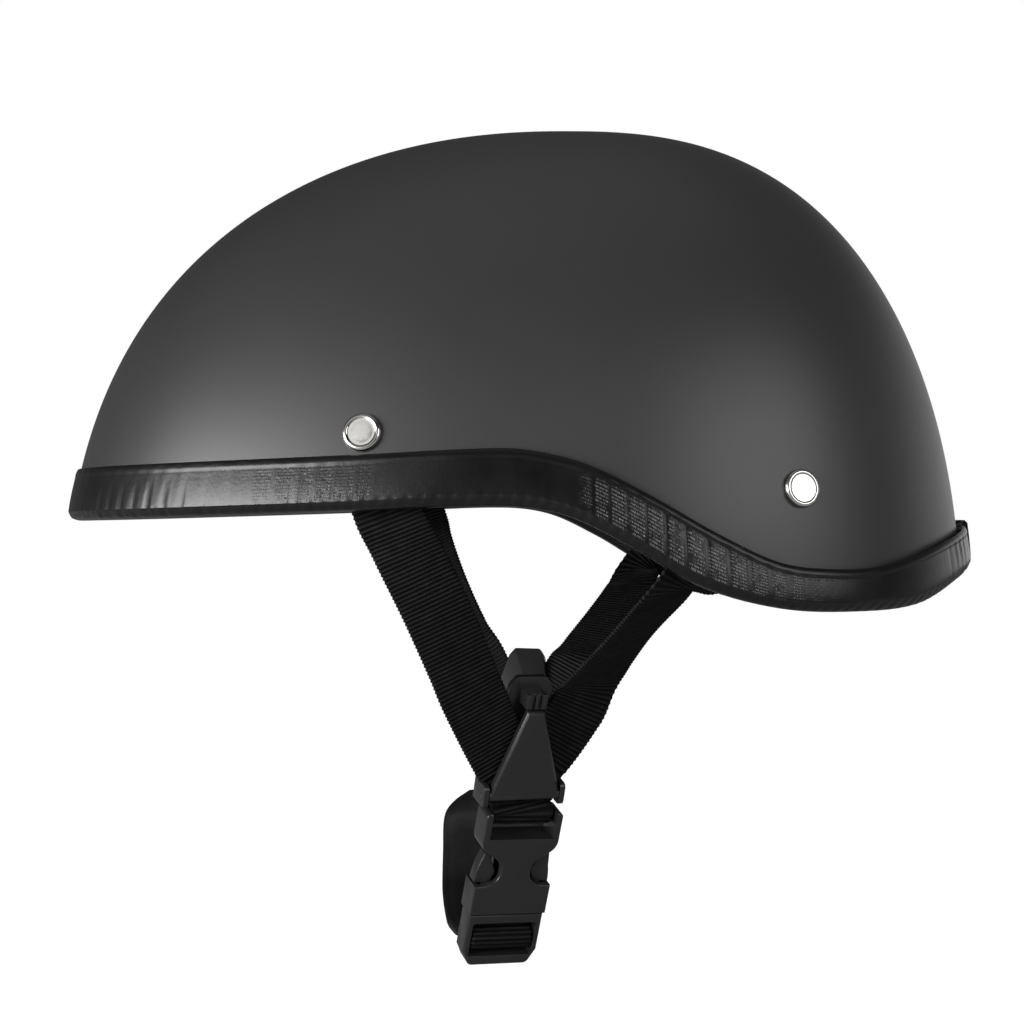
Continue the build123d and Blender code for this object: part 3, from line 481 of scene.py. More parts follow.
def brightNickel():
    # brass stampings plated with bright nickel: a clear mirror with faint turned polishing marks
    material, tree, shader = startMaterial("brightNickelPlate", {
        "Base Color": linear("dcdad6"), "Metallic": 1.0, "Roughness": 0.14,
    })
    marks = texture(tree, "Noise", 0.0009, {"Detail": 3.0})
    feed(tree, shader, "Roughness", 0.1, 0.2, marks)
    relief(tree, shader, marks, 0.00003, 0.5)
    return material


def zincSteel():
    # mild steel with bright zinc: a greyer, softer metal than the caps
    material, tree, shader = startMaterial("zincPlatedSteel", {
        "Base Color": linear("b4b6b8"), "Metallic": 1.0, "Roughness": 0.34,
    })
    spangle = texture(tree, "Voronoi", 0.0015)
    feed(tree, shader, "Roughness", 0.26, 0.44, spangle)
    return material


def beadFoam():
    # expanded polystyrene, steam moulded from dyed beads about 3 mm across, which show as soft pebbles
    material, tree, shader = startMaterial("expandedPolystyrene", {
        "Base Color": linear("232324"), "Roughness": 0.75, "IOR": 1.4,
    })
    beads = texture(tree, "Voronoi", 0.0032, {"feature": "SMOOTH_F1"})
    tint(tree, shader, "2c2c2e", "19191a", beads)
    feed(tree, shader, "Roughness", 0.6, 0.88, beads)
    relief(tree, shader, beads, -0.0006, 0.6)
    return material


def brushedTricot(name, sheen):
    # brushed nylon tricot over soft foam: dull, with fine wales 0.7 mm apart and a slight bloom
    material, tree, shader = startMaterial(name, {
        "Base Color": linear("17171a"), "Roughness": 0.8, "IOR": 1.45,
        "Sheen Weight": sheen, "Sheen Roughness": 0.5,
    })
    wales = texture(tree, "Wave", 0.0044, {"bands_direction": "Y", "Distortion": 0.6})
    fluff = texture(tree, "Noise", 0.0007, {"Detail": 3.0})
    tint(tree, shader, "101012", "1d1d20", fluff)
    under = relief(tree, shader, wales, 0.00008, 0.6)
    relief(tree, shader, fluff, 0.00008, 0.5, under)
    return material


def smoothSleeve():
    # soft PVC sleeve over thin foam: almost smooth, with slow dimples and a low gloss
    material, tree, shader = startMaterial("softPvcSleeve", {
        "Base Color": linear("0d0d0e"), "Roughness": 0.46, "IOR": 1.5, "Specular IOR Level": 0.18,
    })
    dimples = texture(tree, "Noise", 0.007, {"Detail": 3.0})
    grain = texture(tree, "Voronoi", 0.0008, {"feature": "SMOOTH_F1"})
    feed(tree, shader, "Roughness", 0.38, 0.55, dimples)
    tint(tree, shader, "0b0b0c", "131314", dimples)
    under = relief(tree, shader, dimples, 0.0004, 0.5)
    relief(tree, shader, grain, 0.00003, 0.5, under)
    return material


def palePaper():
    # a roll of matt studio paper that glows for the camera and only faintly in gloss
    material, tree, shader = startMaterial("studioPaper", {"Base Color": linear("8f8f8f"), "Roughness": 0.9})
    rays = addNode(tree, "LightPath")
    dimmed = combine(tree, "MULTIPLY", rays.outputs["Is Glossy Ray"], studio["floorInGloss"])
    glow = combine(tree, "MAXIMUM", rays.outputs["Is Camera Ray"], dimmed)
    tree.links.new(glow, shader.inputs["Emission Strength"])
    shader.inputs["Emission Color"].default_value = (*[studio["floorGlow"]] * 3, 1)
    return material


finishes = {
    "shell": matteShell(),
    "trim": leatherette(),
    "webbing": webbing(),
    "hardware": mouldedAcetal(),
    "nickel": brightNickel(),
    "steel": zincSteel(),
    "foam": beadFoam(),
    "pads": brushedTricot("brushedNylonTricot", 0.35),
    "sleeve": smoothSleeve(),
    "elastic": brushedTricot("knittedElastic", 0.2),
}
floorMesh.materials.append(palePaper())


def dress(piece, finish):
    piece.data.materials.clear()
    piece.data.materials.append(finishes[finish])


for node, finish in {"impact_liner": "foam", "rivet_posts": "steel", "rivet_washers": "steel"}.items():
    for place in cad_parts[node].material_slots:
        place.material = finishes[finish]

print("moulded hardware")
moulding = {"mergeWithin": 2e-6, "flatWithin": 1.5, "edgeFrom": 32, "segments": 3}
# node: body that it moves with, and the radius of its moulded edges in millimetres
hardware = {
    "buckle_socket": ("helmet", 0.7),
    "buckle_male": ("male_half", 0.7),
    "prong_front": ("front_prong", 0.35),
    "prong_rear": ("rear_prong", 0.35),
    "divider_lever_left": ("lever_left", 0.6),
    "divider_lever_right": ("lever_right", 0.6),
    "divider_frame_left": ("helmet", 0.4),
    "divider_frame_right": ("helmet", 0.4),
}
for node, (body, radius) in hardware.items():
    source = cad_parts[node]
    part = addObject(node.replace("_", "") + "Moulded", source.data.copy())
    shape = bmesh.new()
    shape.from_mesh(part.data)
    bmesh.ops.remove_doubles(shape, verts=shape.verts, dist=moulding["mergeWithin"])
    flatWithin = math.radians(moulding["flatWithin"])
    bmesh.ops.dissolve_limit(shape, angle_limit=flatWithin, verts=shape.verts, edges=shape.edges)
    shape.to_mesh(part.data)
    shape.free()
    dress(part, "hardware")
    smooth(part.data)
    part.data.polygons.foreach_set("material_index", np.zeros(len(part.data.polygons), dtype=np.int32))
    rounder = part.modifiers.new("mouldedEdge", "BEVEL")
    rounder.width = radius * mm
    rounder.segments = moulding["segments"]
    rounder.limit_method = "ANGLE"
    rounder.angle_limit = math.radians(moulding["edgeFrom"])
    rounder.harden_normals = True
    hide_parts(node)
    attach(part, body)

print("shell")
shellGrid = {"turns": 240, "rises": 90, "lift": 3.0}


def domeSheet(turns, rises, lift, offset):
    # from the rim to the crown: rays from the middle of the base plane, rising evenly from the rim's height
    turn = fullTurn(turns)[None, :]
    rim = rimPoints(turn, offset, 0.0, lift)
    flat = np.hypot(rim[..., 0], rim[..., 1] - dome["setBack"])
    lowest = np.arctan2(rim[..., 2] + dome["baseDrop"], flat)
    share = np.linspace(0, 1, rises)[:, None]
    rise = lowest + (np.pi / 2 - lowest) * share
    direction = np.stack([
        np.sin(turn) * np.cos(rise), np.cos(turn) * np.cos(rise), np.sin(rise) * np.ones_like(turn),
    ], -1)
    return reachOut(np.array([0, dome["setBack"], -dome["baseDrop"]]), direction, offset)


outside = domeSheet(**shellGrid, offset=0.0)
within = domeSheet(**shellGrid, offset=-dome["wall"])
shell = meshFrom("shellSurface", np.concatenate([within[::-1], outside], 0), closeRound=True)
faceOutwards(shell)
dress(shell, "shell")
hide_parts("outer_shell")
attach(shell, "helmet")

print("trim")
trimWrap = {
    "sections": 900,
    "jointTurn": 0.0016,
    "refined": 2,
    "outerRows": (8, 28),
    "slimAtBrow": 0.4,
    "slimBeyond": 0.4,
    "browFrom": (0.25, 0.85),
    "cornerRoll": 0.6,
    "cornerBelow": 2.65,
    "cornerLift": 3.0,
    "creasePitch": 6.2,
    "creaseDepth": 0.55,
    "creaseWidth": 0.1,
    "puffHeight": 0.05,
    "hemPitch": 3.9,
    "hemRipple": 0.4,
    # places along Y where the trim is bent and so creased, and where in front of the ear and at the temple it
    # shows short ribs with a painted highlight
    "brow": (42, 62),
    "front": (126, 142),
    "ear": ((14, 26), (62, 92)),
    "nape": (124, 133),
    "temple": ((-82, -58), (-50, -37)),
    "templeRibsAndHighlight": 0.25,
    "ribAndHighlightZone": ((0.16, 0.3), (0.76, 0.86)),
}
# outline of the folded leathercloth: offset from the shell, share of the way from foot to crest, lift
trimOutline = np.array([
    (0.3, 1, -4.0), (0.35, 1, -3.0), (1.25, 1, -2.8), (1.5, 1, -1.3), (1.65, 1, -0.5), (1.95, 1, -0.05),
    (2.2, 1, 0.05), (2.55, 1, -0.15), (2.85, 1, -0.55), (3.08, 1, -1.1), (3.2, 1, -1.7), (3.12, 1, -2.2),
    (3.05, 1, -2.7), (3.1, 1, -3.2),
    (3.16, 0.72, 0), (3.26, 0.64, 0), (3.34, 0.56, 0), (3.4, 0.48, 0), (3.44, 0.4, 0), (3.44, 0.32, 0),
    (3.4, 0.24, 0),
    (3.36, 0, 3.0), (3.22, 0, 2.6), (2.85, 0, 1.9), (2.35, 0, 1.15), (1.7, 0, 0.5), (0.8, 0, 0.1),
    (-1.0, 0, 0.0), (-3.5, 0, 0.0), (-5.0, 0, 0.2), (-5.9, 0, 0.7), (-6.25, 0, 1.6),
    (-6.3, 0, 3.0), (-6.3, 0, 6.0), (-6.3, 0, 9.0), (-6.2, 0, 11.4), (-5.6, 0, 12.0), (-4.4, 0, 11.9),
    (-4.3, 0, 11.0), (-4.3, 0, 7.0), (-4.3, 0, 2.8), (-2.0, 0, 2.7), (0.3, 0, 2.7), (0.3, 0.3, 2.0),
])


def refine(outline, times):
    # more points on each side of the outline, kept on its own lines
    share = np.linspace(0, 1, times, endpoint=False)[None, :, None]
    sides = outline[:-1, None] + np.diff(outline, axis=0)[:, None] * share
    return np.concatenate([sides.reshape(-1, outline.shape[1]), outline[-1:]])


def wrapRim(outline, turns):
    # the outline carried along the rim: points, millimetres along the rim and millimetres round the outline
    offset, share, lift = (outline[None, :, column] for column in range(3))
    # over the brow the wrap is drawn tighter: its outer side is less proud, and its lower corner is rounder
    brow = smoothStep(-np.cos(turns), *trimWrap["browFrom"])[:, None]
    proud = offset * np.where(offset > trimWrap["slimBeyond"], 1 - (1 - trimWrap["slimAtBrow"]) * brow, 1)
    corner = (share == 0) & (lift < trimWrap["cornerBelow"])
    rolling = brow * trimWrap["cornerRoll"] * smoothStep(offset, -3.0, 3.4)
    rolled = lift + (trimWrap["cornerLift"] - lift) * rolling
    points = rimPoints(turns[:, None], proud, share, np.where(corner, rolled, lift))
    middle = points[:, len(outline) // 3]
    gaps = np.linalg.norm(np.diff(middle, axis=0), axis=1)
    along = np.concatenate([[0], np.cumsum(gaps)])[:, None] * np.ones(len(outline))
    rounds = np.linalg.norm(np.diff(points[len(points) // 3], axis=0), axis=1)
    around = np.concatenate([[0], np.cumsum(rounds)])[None, :] * np.ones((len(turns), 1))
    return points, along, around


turns = np.linspace(trimWrap["jointTurn"], 2 * np.pi - trimWrap["jointTurn"], trimWrap["sections"])
outline = refine(trimOutline, trimWrap["refined"])
points, along, around = wrapRim(outline, turns)
outwards = np.stack([np.sin(turns), np.cos(turns), np.zeros_like(turns)], -1)[:, None, :]
place = points[..., 1]
foot = lineHeight("foot", place)
crest = lineHeight("crest", place)
level = np.clip((points[..., 2] - foot) / (crest - foot), 0, 1)
rows = np.arange(len(outline))[None, :] / trimWrap["refined"]
onFace = (rows > trimWrap["outerRows"][0]) & (rows < trimWrap["outerRows"][1])
# creases: narrow dents at uneven steps along the rim, deep where it bends at the brow, the ear and the nape
wander = 1.9 * np.sin(along / 31.0) + 1.3 * np.sin(along / 11.3 + 1.7)
phase = (along + wander) / trimWrap["creasePitch"]
number = np.round(phase)
nearest = np.abs(phase - number)
chance = 0.5 + 0.5 * np.sin(number * 12.9898 + 4.1)
brow = smoothStep(-place, *trimWrap["brow"]) * (1 - smoothStep(-place, *trimWrap["front"]) * 0.5)
ear = window(place, *trimWrap["ear"])
bent = np.clip(brow + ear + smoothStep(place, *trimWrap["nape"]), 0, 1)
lean = np.where(place < 0, smoothStep(1 - level, 0.05, 0.8), 0.45 + 0.55 * smoothStep(level, 0.1, 0.7))
lean = lean * (1 - smoothStep(level, 0.8, 0.93) * (place > 0))
narrow = np.exp(-(nearest / (trimWrap["creaseWidth"] * (0.6 + 0.8 * chance))) ** 2)
dent = narrow * (0.35 + 0.65 * chance) * lean * bent
puff = np.cos(2 * np.pi * phase) * trimWrap["puffHeight"] * bent
hem = np.maximum(np.sin(2 * np.pi * (along + wander + 9 * level) / trimWrap["hemPitch"]), 0) ** 4
hem = hem * smoothStep(1 - level, 0.72, 0.9) * trimWrap["hemRipple"]
move = (-dent * trimWrap["creaseDepth"] + puff - hem) * onFace
points = points + outwards * move[..., None]
trim = meshFrom("rimTrim", points, closeRound=True, capEnds=True, uv=np.stack([along, around], -1))
# the ribs, with their painted highlight, show in front of the ear and at the temple, between the creases and
# across part of the face
temple = window(place, *trimWrap["temple"]) * trimWrap["templeRibsAndHighlight"]
ribsAndHighlight = (ear + temple) * smoothStep(nearest, 0.1, 0.2) * window(level, *trimWrap["ribAndHighlightZone"]) * onFace
mark = trim.data.attributes.new("ribsAndHighlight", "FLOAT", "POINT")
mark.data.foreach_set("value", ribsAndHighlight.astype(np.float32).ravel())
dress(trim, "trim")
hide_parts("rim_trim")
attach(trim, "helmet")

print("joint cover")
# half its width over the reach of the rear rim, as a turn
coverWrap = {"halfTurn": 8.0 / 130.4, "sections": 40, "refined": 3}
coverOutline = np.array([
    (4.3, 0, 0.0), (3.6, 0, -1.2), (1.0, 0, -1.65), (-5.0, 0, -1.7), (-5.3, 0, -1.2), (-5.0, 0, -0.6),
    (1.0, 0, -0.55), (3.0, 0, 0.4), (3.85, 0, 2.4), (3.95, 0.4, 0), (3.9, 1, 0.3), (2.4, 1, 0.6),
    (0.7, 1, 0.55), (0.55, 1, 1.0), (0.8, 1, 1.5), (2.6, 1, 1.6), (4.3, 1, 1.2), (5.1, 1, 0.1),
    (5.2, 0.6, 0), (5.2, 0.3, 0), (5.05, 0, 1.4),
])
turns = np.linspace(-coverWrap["halfTurn"], coverWrap["halfTurn"], coverWrap["sections"])
points, along, around = wrapRim(refine(coverOutline, coverWrap["refined"]), turns)
cover = meshFrom("jointCover", points, closeRound=True, capEnds=True, uv=np.stack([along, around], -1))
faceOutwards(cover)
dress(cover, "trim")
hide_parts("trim_joint_cover")
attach(cover, "helmet")

print("comfort pads")
padMake = {
    # where the pad rests, as an offset from the shell
    "back": -22.1,
    "thick": 6.0,
    "seamThick": 1.6,
    "inset": 0.4,
    "power": 2 / 4.5,
    "topPower": 1.0,
    "rings": 26,
    "turns": 96,
    "channelDepth": 1.3,
    "channelPitch": 24.0,
    "channelWidth": 1.6,
    # the crown pad's channel is a ring: its share of the way out, and how narrow it is
    "ringAt": 0.55,
    "ringSharp": 24,
}
# view: where its rays start from the middle, and which way they go
padViews = {
    "front": ((0, -20, 0), (0, -1, 0)),
    "rear": ((0, 30, 0), (0, 1, 0)),
    "left": ((0, 0, 0), (1, 0, 0)),
    "right": ((0, 0, 0), (-1, 0, 0)),
    "top": ((0, 0, 0), (0, 0, 1)),
}
# name: view that the patch is drawn on, its middle, and its half length and half height
padPatches = {
    "brow_pad": ("front", 0.0, 33.0, 66.0, 19.0),
    "nape_pad": ("rear", 0.0, 13.0, 54.0, 21.0),
    "side_pad_left": ("left", 5.0, 26.0, 53.0, 20.0),
    "side_pad_right": ("right", 5.0, 26.0, 53.0, 20.0),
    "crown_pad": ("top", 0.0, 12.0, 42.0, 56.0),
}


def padSheet(view, middleA, middleB, halfA, halfB, puffed):
    # rings of a superellipse from the patch's middle out, each point carried onto the liner along the view's
    # own direction; puffed is 0 for the face that rests on the liner and 1 for the crowned face
    ring = np.sin(np.linspace(0, np.pi / 2, padMake["rings"]))[:, None]
    turn = fullTurn(padMake["turns"])[None, :]
    across, up = roundPower(turn, padMake["topPower"] if view == "top" else padMake["power"])
    a = ring * across * (halfA - padMake["inset"])
    b = ring * up * (halfB - padMake["inset"])
    crown = (1 - ring ** 6) ** 0.5
    away = ((a / padMake["channelPitch"] + 0.5) % 1 - 0.5) * padMake["channelPitch"] / padMake["channelWidth"]
    if view == "top":
        away = (np.hypot(a / halfA, b / halfB) - padMake["ringAt"]) * padMake["ringSharp"]
    thick = padMake["seamThick"] + (padMake["thick"] - padMake["seamThick"]) * crown
    thick = (thick - np.exp(-away ** 2) * padMake["channelDepth"] * crown) * puffed
    first, toward = (np.array(vector, dtype=float) for vector in padViews[view])
    # the patch lies across the view's direction, on the two axes that are left
    axes = [axis for axis in range(3) if toward[axis] == 0]
    start = np.zeros((*a.shape, 3)) + first
    start[..., axes[0]] = a + middleA
    start[..., axes[1]] = b + middleB
    direction = np.broadcast_to(toward, start.shape)
    near = reachOut(start, direction, padMake["back"])
    deep = reachOut(start, direction, padMake["back"] - padMake["thick"])
    return near + (deep - near) * (thick / padMake["thick"])[..., None]


for name, patch in padPatches.items():
    back = padSheet(*patch, 0.0)
    face = padSheet(*patch, 1.0)
    pad = meshFrom(name.replace("_", "") + "Cushion", np.concatenate([back, face[::-1]], 0), closeRound=True)
    faceOutwards(pad)
    dress(pad, "pads")
    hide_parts(name)
    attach(pad, "helmet")

print("rivet caps")
# place along Y and height of each rivet on the shell
rivets = {"front": (-44.4, 22.0), "rear": (78.8, 6.6)}
cap = {
    "turns": 72,
    # radius and height above the shell, from the rolled foot to the middle of the face
    "outline": [
        (5.3, 0.2), (5.48, 0.34), (5.5, 0.6), (5.46, 0.95), (5.34, 1.3), (5.12, 1.58), (4.85, 1.75),
        (4.55, 1.8), (4.3, 1.76), (4.14, 1.66), (4.02, 1.58), (3.8, 1.56), (3.0, 1.62), (1.8, 1.68),
        (0.8, 1.7), (0.3, 1.7),
    ],
}


def lathe(outline, centre, axis):
    # the outline turned about the axis: centre + axis * height + radius * (cos, sin) in the plane across it
    side = unit(np.cross(axis, [0, 0, 1.0]))
    other = np.cross(axis, side)
    turn = fullTurn(cap["turns"])[None, :, None]
    outline = np.array(outline)[:, None, :]
    spoke = np.cos(turn) * side + np.sin(turn) * other
    return centre + axis * outline[..., 1:2] + outline[..., 0:1] * spoke


def joinPieces(name, parts):
    # several finished meshes as one object
    vertices, faces, count = [], [], 0
    for part in parts:
        mesh = part.data
        flat = np.empty(len(mesh.vertices) * 3)
        mesh.vertices.foreach_get("co", flat)
        vertices.append(flat.reshape(-1, 3))
        faces.extend([[corner + count for corner in face.vertices] for face in mesh.polygons])
        count += len(mesh.vertices)
        bpy.data.objects.remove(part)
    mesh = bpy.data.meshes.new(name)
    mesh.from_pydata(np.concatenate(vertices).tolist(), [], faces)
    smooth(mesh)
    return addObject(name, mesh)


caps = []
for rivet in rivets.values():
    for side in ((1, 1, 1), (-1, 1, 1)):
        grid = lathe(cap["outline"], sidePoint(*rivet) * side, sideNormal(*rivet) * side)
        caps.append(meshFrom("cap", grid, closeRound=True, capEnds=True))
caps = joinPieces("nickelCaps", caps)
faceOutwards(caps)
dress(caps, "nickel")
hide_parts("rivet_caps")
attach(caps, "helmet")

print("webbing")
strap = {
    "width": 20.0,
    "thick": 1.4,
    "fineSteps": 6000,
    "step": 0.26,
    "ribPitch": 1.3,
    "ribHeight": 0.4,
    "selvageTick": 0.3,
    "grooveDepth": 0.22,
    "groovePlace": 0.8,
    "grooveWidth": 0.07,
    "edgeTuck": 0.3,
    "coreShare": 0.92,
}
# how the straps hang on the left, in millimetres and degrees: the same values as the part's source
hang = {
    "tabDrop": 5.7,
    "tabBack": 9.0,
    "tabAhead": 5.6,
    "flangeDepth": 9.0,
    "freeShares": (0.2, 0.5, 0.8),
    "dividerAt": (66.0, 4.8, -59.1),
    "leanIn": 18.5,
    "leanForward": 8.0,
    "dividerTurn": 22.0,
    "outerLayer": 4.2,
    "innerLayer": 5.8,
    "loopAside": 1.0,
    "loopDrops": (26.0, 31.5),
    "buckleAside": 1.5,
    "buckleBelow": 33.5,
    "buckleTilt": -2.1,
    "barDrop": 1.8,
    "barDeep": 5.1,
    "barLoop": 2.7,
    "barLead": 25.0,
    "foldDrop": 40.0,
    "turnSteps": 7,
}
# the two legs: where each leaves the rim (place and height), how deep inside the dome, how far along it
# passes the trim's flange, its turn at the rim, and where it enters the divider, on the divider's own axes
legs = {
    "front": {
        "exit": (-37.0, -1.0), "depth": 9.0, "flange": 0.44, "exitTurn": 0.0,
        "entry": (-17.5, 4.0, -hang["outerLayer"]),
    },
    "rear": {
        "exit": (44.0, -20.5), "depth": 12.8, "flange": 0.68, "exitTurn": 40.0,
        "entry": (16.0, 4.5, -hang["innerLayer"]),
    },
}
# how each leg hangs: turns and shifts (x and y) at the three free stations, then its stations in the divider
# (aside, rise, depth, turn and width); on the far side the front leg is more edge-on and the rear one flatter
draping = {
    "nearFront": ("front", (6.0, 12.0, 18.0), ((0, 0), (0, 0), (0.35, -0.8)), [
        (-19.3, 4.0, -4.2, 22.0, 20.0), (-6.1, -18.5, -4.2, 22.0, 18.6), (-1.8, -22.3, -4.2, 22.0, 18.8),
    ]),
    "nearRear": ("rear", (46.0, 48.0, 38.0), ((0, 0), (0, 0), (-0.37, 0.84)), [
        (18.0, 4.5, -5.8, 24.8, 19.6), (14.52, -4.7, -5.83, 22.0, 19.4),
        (7.6, -17.5, -5.8, 22.0, 18.6), (2.6, -22.3, -5.8, 22.0, 18.8),
    ]),
    "farFront": ("front", (25.5, 32.0, 30.0), ((0, -1.33), (0, -2.52), (0, -2.6)), [
        (-18.08, 3.92, -4.42, 22.0, 18.6), (-3.5, -18.5, -4.2, 22.0, 15.6),
    ]),
    "farRear": ("rear", (31.3, 26.7, 23.6), ((0, 1.76), (0, 2.0), (0, 1.44)), [
        (16.37, 4.55, -5.66, 22.0, 18.6), (5.0, -17.5, -5.8, 22.0, 15.6),
    ]),
}


def facing(turn):
    # width direction of webbing whose face is turned from straight sideways towards the rear
    return np.array([-math.sin(math.radians(turn)), math.cos(math.radians(turn)), 0])


def makeSeat(origin, across, up):
    return {"origin": origin, "across": across, "up": up, "face": np.cross(across, up)}


def seatPoint(seat, aside, rise, out):
    return seat["origin"] + seat["across"] * aside + seat["up"] * rise + seat["face"] * out


fall = unit(np.array([-math.tan(math.radians(hang[lean])) for lean in ("leanIn", "leanForward")] + [-1]))
sideways = facing(hang["dividerTurn"] - 90)
divider = makeSeat(
    np.array(hang["dividerAt"]), np.cross(unit(sideways - fall * (sideways @ fall)), fall), -fall
)
tilt = math.radians(hang["buckleTilt"])
buckle = makeSeat(
    seatPoint(divider, hang["buckleAside"], -hang["buckleBelow"], 0),
    divider["across"] * math.cos(tilt) + divider["up"] * math.sin(tilt),
    divider["up"] * math.cos(tilt) - divider["across"] * math.sin(tilt),
)


def station(centre, across, width=strap["width"]):
    return (*centre, *across, width)


def strapLeg(name):
    # from the tab under the rivet, past the trim's flange and out of the rim, down to the foot of the divider
    end, turns, shifts, mouth = draping[name]
    leg = legs[end]
    spot, normal = sidePoint(*rivets[end]), sideNormal(*rivets[end])
    run = sidePoint(*leg["exit"]) - spot
    run = unit(run - normal * (run @ normal))
    tab = spot - normal * hang["tabDrop"]
    side = np.cross(normal, run)
    flange = np.array(rivets[end]) * (1 - leg["flange"]) + np.array(leg["exit"]) * leg["flange"]
    out = sidePoint(*leg["exit"], -leg["depth"])
    entry = seatPoint(divider, *leg["entry"])
    stations = [
        station(tab - run * hang["tabBack"], side),
        station(tab + run * hang["tabAhead"], side),
        station(sidePoint(*flange, -hang["flangeDepth"]), np.cross(sideNormal(*flange), run)),
        station(out, facing(leg["exitTurn"])),
    ]
    for share, turn, shift in zip(hang["freeShares"], turns, shifts):
        stations.append(station(out * (1 - share) + entry * share + (*shift, 0), facing(turn)))
    for aside, rise, depth, turn, width in mouth:
        stations.append(station(seatPoint(divider, aside, rise, depth), facing(turn), width))
    for drop in hang["loopDrops"]:
        foot = seatPoint(divider, hang["loopAside"], -drop, leg["entry"][2])
        stations.append(station(foot, divider["across"]))
    return stations


def turnRound(seat, aside, drop, depth, radius, fromAngle, toAngle):
    # stations round a bar: rise = -drop - radius * sin and out = -depth + radius * cos, angles in degrees
    stations = []
    for angle in np.radians(np.linspace(fromAngle, toAngle, hang["turnSteps"])):
        centre = seatPoint(seat, aside, -drop - radius * math.sin(angle), -depth + radius * math.cos(angle))
        stations.append(station(centre, seat["across"]))
    return stations


def smoothRun(stations, step):
    # a Catmull-Rom curve through the stations, resampled evenly, with the width direction carried along
    stations = np.array(stations, dtype=float)
    chord = np.sqrt(np.linalg.norm(np.diff(stations[:, :3], axis=0), axis=1))
    knots = np.concatenate([[0], np.cumsum(chord)])
    slopes = np.empty_like(stations)
    slopes[1:-1] = (stations[2:] - stations[:-2]) / (knots[2:] - knots[:-2])[:, None]
    slopes[0] = (stations[1] - stations[0]) / (knots[1] - knots[0])
    slopes[-1] = (stations[-1] - stations[-2]) / (knots[-1] - knots[-2])
    fine = np.linspace(0, knots[-1], strap["fineSteps"])
    index = np.clip(np.searchsorted(knots, fine) - 1, 0, len(knots) - 2)
    span = (knots[index + 1] - knots[index])[:, None]
    share = ((fine - knots[index]) / span[:, 0])[:, None]
    after = index + 1
    values = cubic(share, stations[index], slopes[index] * span, stations[after], slopes[after] * span)
    length = np.concatenate([[0], np.cumsum(np.linalg.norm(np.diff(values[:, :3], axis=0), axis=1))])
    even = np.linspace(0, length[-1], int(length[-1] / step))
    sampled = np.stack([np.interp(even, length, values[:, column]) for column in range(7)], -1)
    return sampled, even


def bandFrame(stations, step):
    # the run resampled, with unit directions across it and off its face
    run, along = smoothRun(stations, step)
    centre, across, width = run[:, :3], run[:, 3:6], run[:, 6]
    ahead = unit(np.gradient(centre, axis=0))
    across = unit(across - ahead * np.sum(across * ahead, axis=1, keepdims=True))
    face = np.cross(ahead, across)
    return centre[:, None, :], across[:, None, :], face[:, None, :], width[:, None], along[:, None]


def webbingBand(name, stations, mirrored=False, ripple=None):
    # a rounded band along the run: cross ribs lift both faces, ticks bite the selvages, ripple waves it
    centre, across, face, width, along = bandFrame(stations, strap["step"])
    # outline of the band: share of the half width, share of the half thickness
    flat = np.linspace(-0.93, 0.93, 11)
    top = np.stack([flat, np.ones_like(flat)], -1)
    bottom = np.stack([flat[::-1], -np.ones_like(flat)], -1)
    right = np.array([(0.975, 0.78), (1.0, 0.35), (1.0, -0.35), (0.975, -0.78)])
    outline = np.concatenate([top, right, bottom, -right])
    wide, high = outline[None, :, 0], outline[None, :, 1]
    edge = np.abs(wide) > 0.95
    rib = np.cos(2 * np.pi * along / strap["ribPitch"])
    lift = rib * strap["ribHeight"] / 2 * ~edge * np.sign(high)
    tick = np.maximum(rib, 0) * strap["selvageTick"] * edge * np.sign(wide)
    groove = np.exp(-((np.abs(wide) - strap["groovePlace"]) / strap["grooveWidth"]) ** 2)
    seam = -strap["grooveDepth"] * groove * np.sign(high)
    sideways = wide * (width / 2 - strap["edgeTuck"]) + tick
    outwards = high * strap["thick"] / 2 * strap["coreShare"] + lift + seam
    points = centre + across * sideways[..., None] + face * outwards[..., None]
    if ripple is not None:
        points = points + ripple(centre)
    if mirrored:
        points = points * (-1, 1, 1)
    sides = np.diff(outline * (strap["width"] / 2, strap["thick"] / 2), axis=0)
    around = np.concatenate([[0], np.cumsum(np.linalg.norm(sides, axis=1))])
    lay = np.stack(np.broadcast_arrays(along, around[None, :]), -1)
    band = meshFrom(name, points, closeRound=True, capEnds=True, uv=lay)
    faceOutwards(band, merge=0)
    dress(band, "webbing")
    return band


# the wave in the bunched layers: height, length, where it starts, and the drops where it fades in and out
bunch = {"height": 0.55, "length": 4.6, "from": 28.6, "fadeIn": (27.4, 29.0), "fadeOut": (31.6, 33.0)}


def bunching(centre):
    # both layers wave together where the buckle's pull bunches them below the lever
    drop = (divider["origin"] - centre) @ divider["up"]
    wave = np.sin(2 * np.pi * (drop - bunch["from"]) / bunch["length"]) * bunch["height"]
    return (wave * window(drop, bunch["fadeIn"], bunch["fadeOut"]))[..., None] * divider["face"]


barRun = turnRound(
    buckle, 0, hang["barDrop"], hang["barDeep"], hang["barLoop"], -hang["barLead"], 180 + hang["barLead"]
)
foldMiddle = (hang["outerLayer"] + hang["innerLayer"]) / 2
foldRadius = (hang["innerLayer"] - hang["outerLayer"]) / 2
foldRun = turnRound(divider, hang["loopAside"], hang["foldDrop"], foldMiddle, foldRadius, 0, 180)
left = webbingBand("leftStrap", strapLeg("nearFront") + barRun + strapLeg("nearRear")[::-1], ripple=bunching)
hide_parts("side_strap_left")
right = webbingBand("rightStrap", strapLeg("farFront") + foldRun + strapLeg("farRear")[::-1], mirrored=True)
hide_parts("side_strap_right")
for piece in (left, right):
    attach(piece, "helmet")

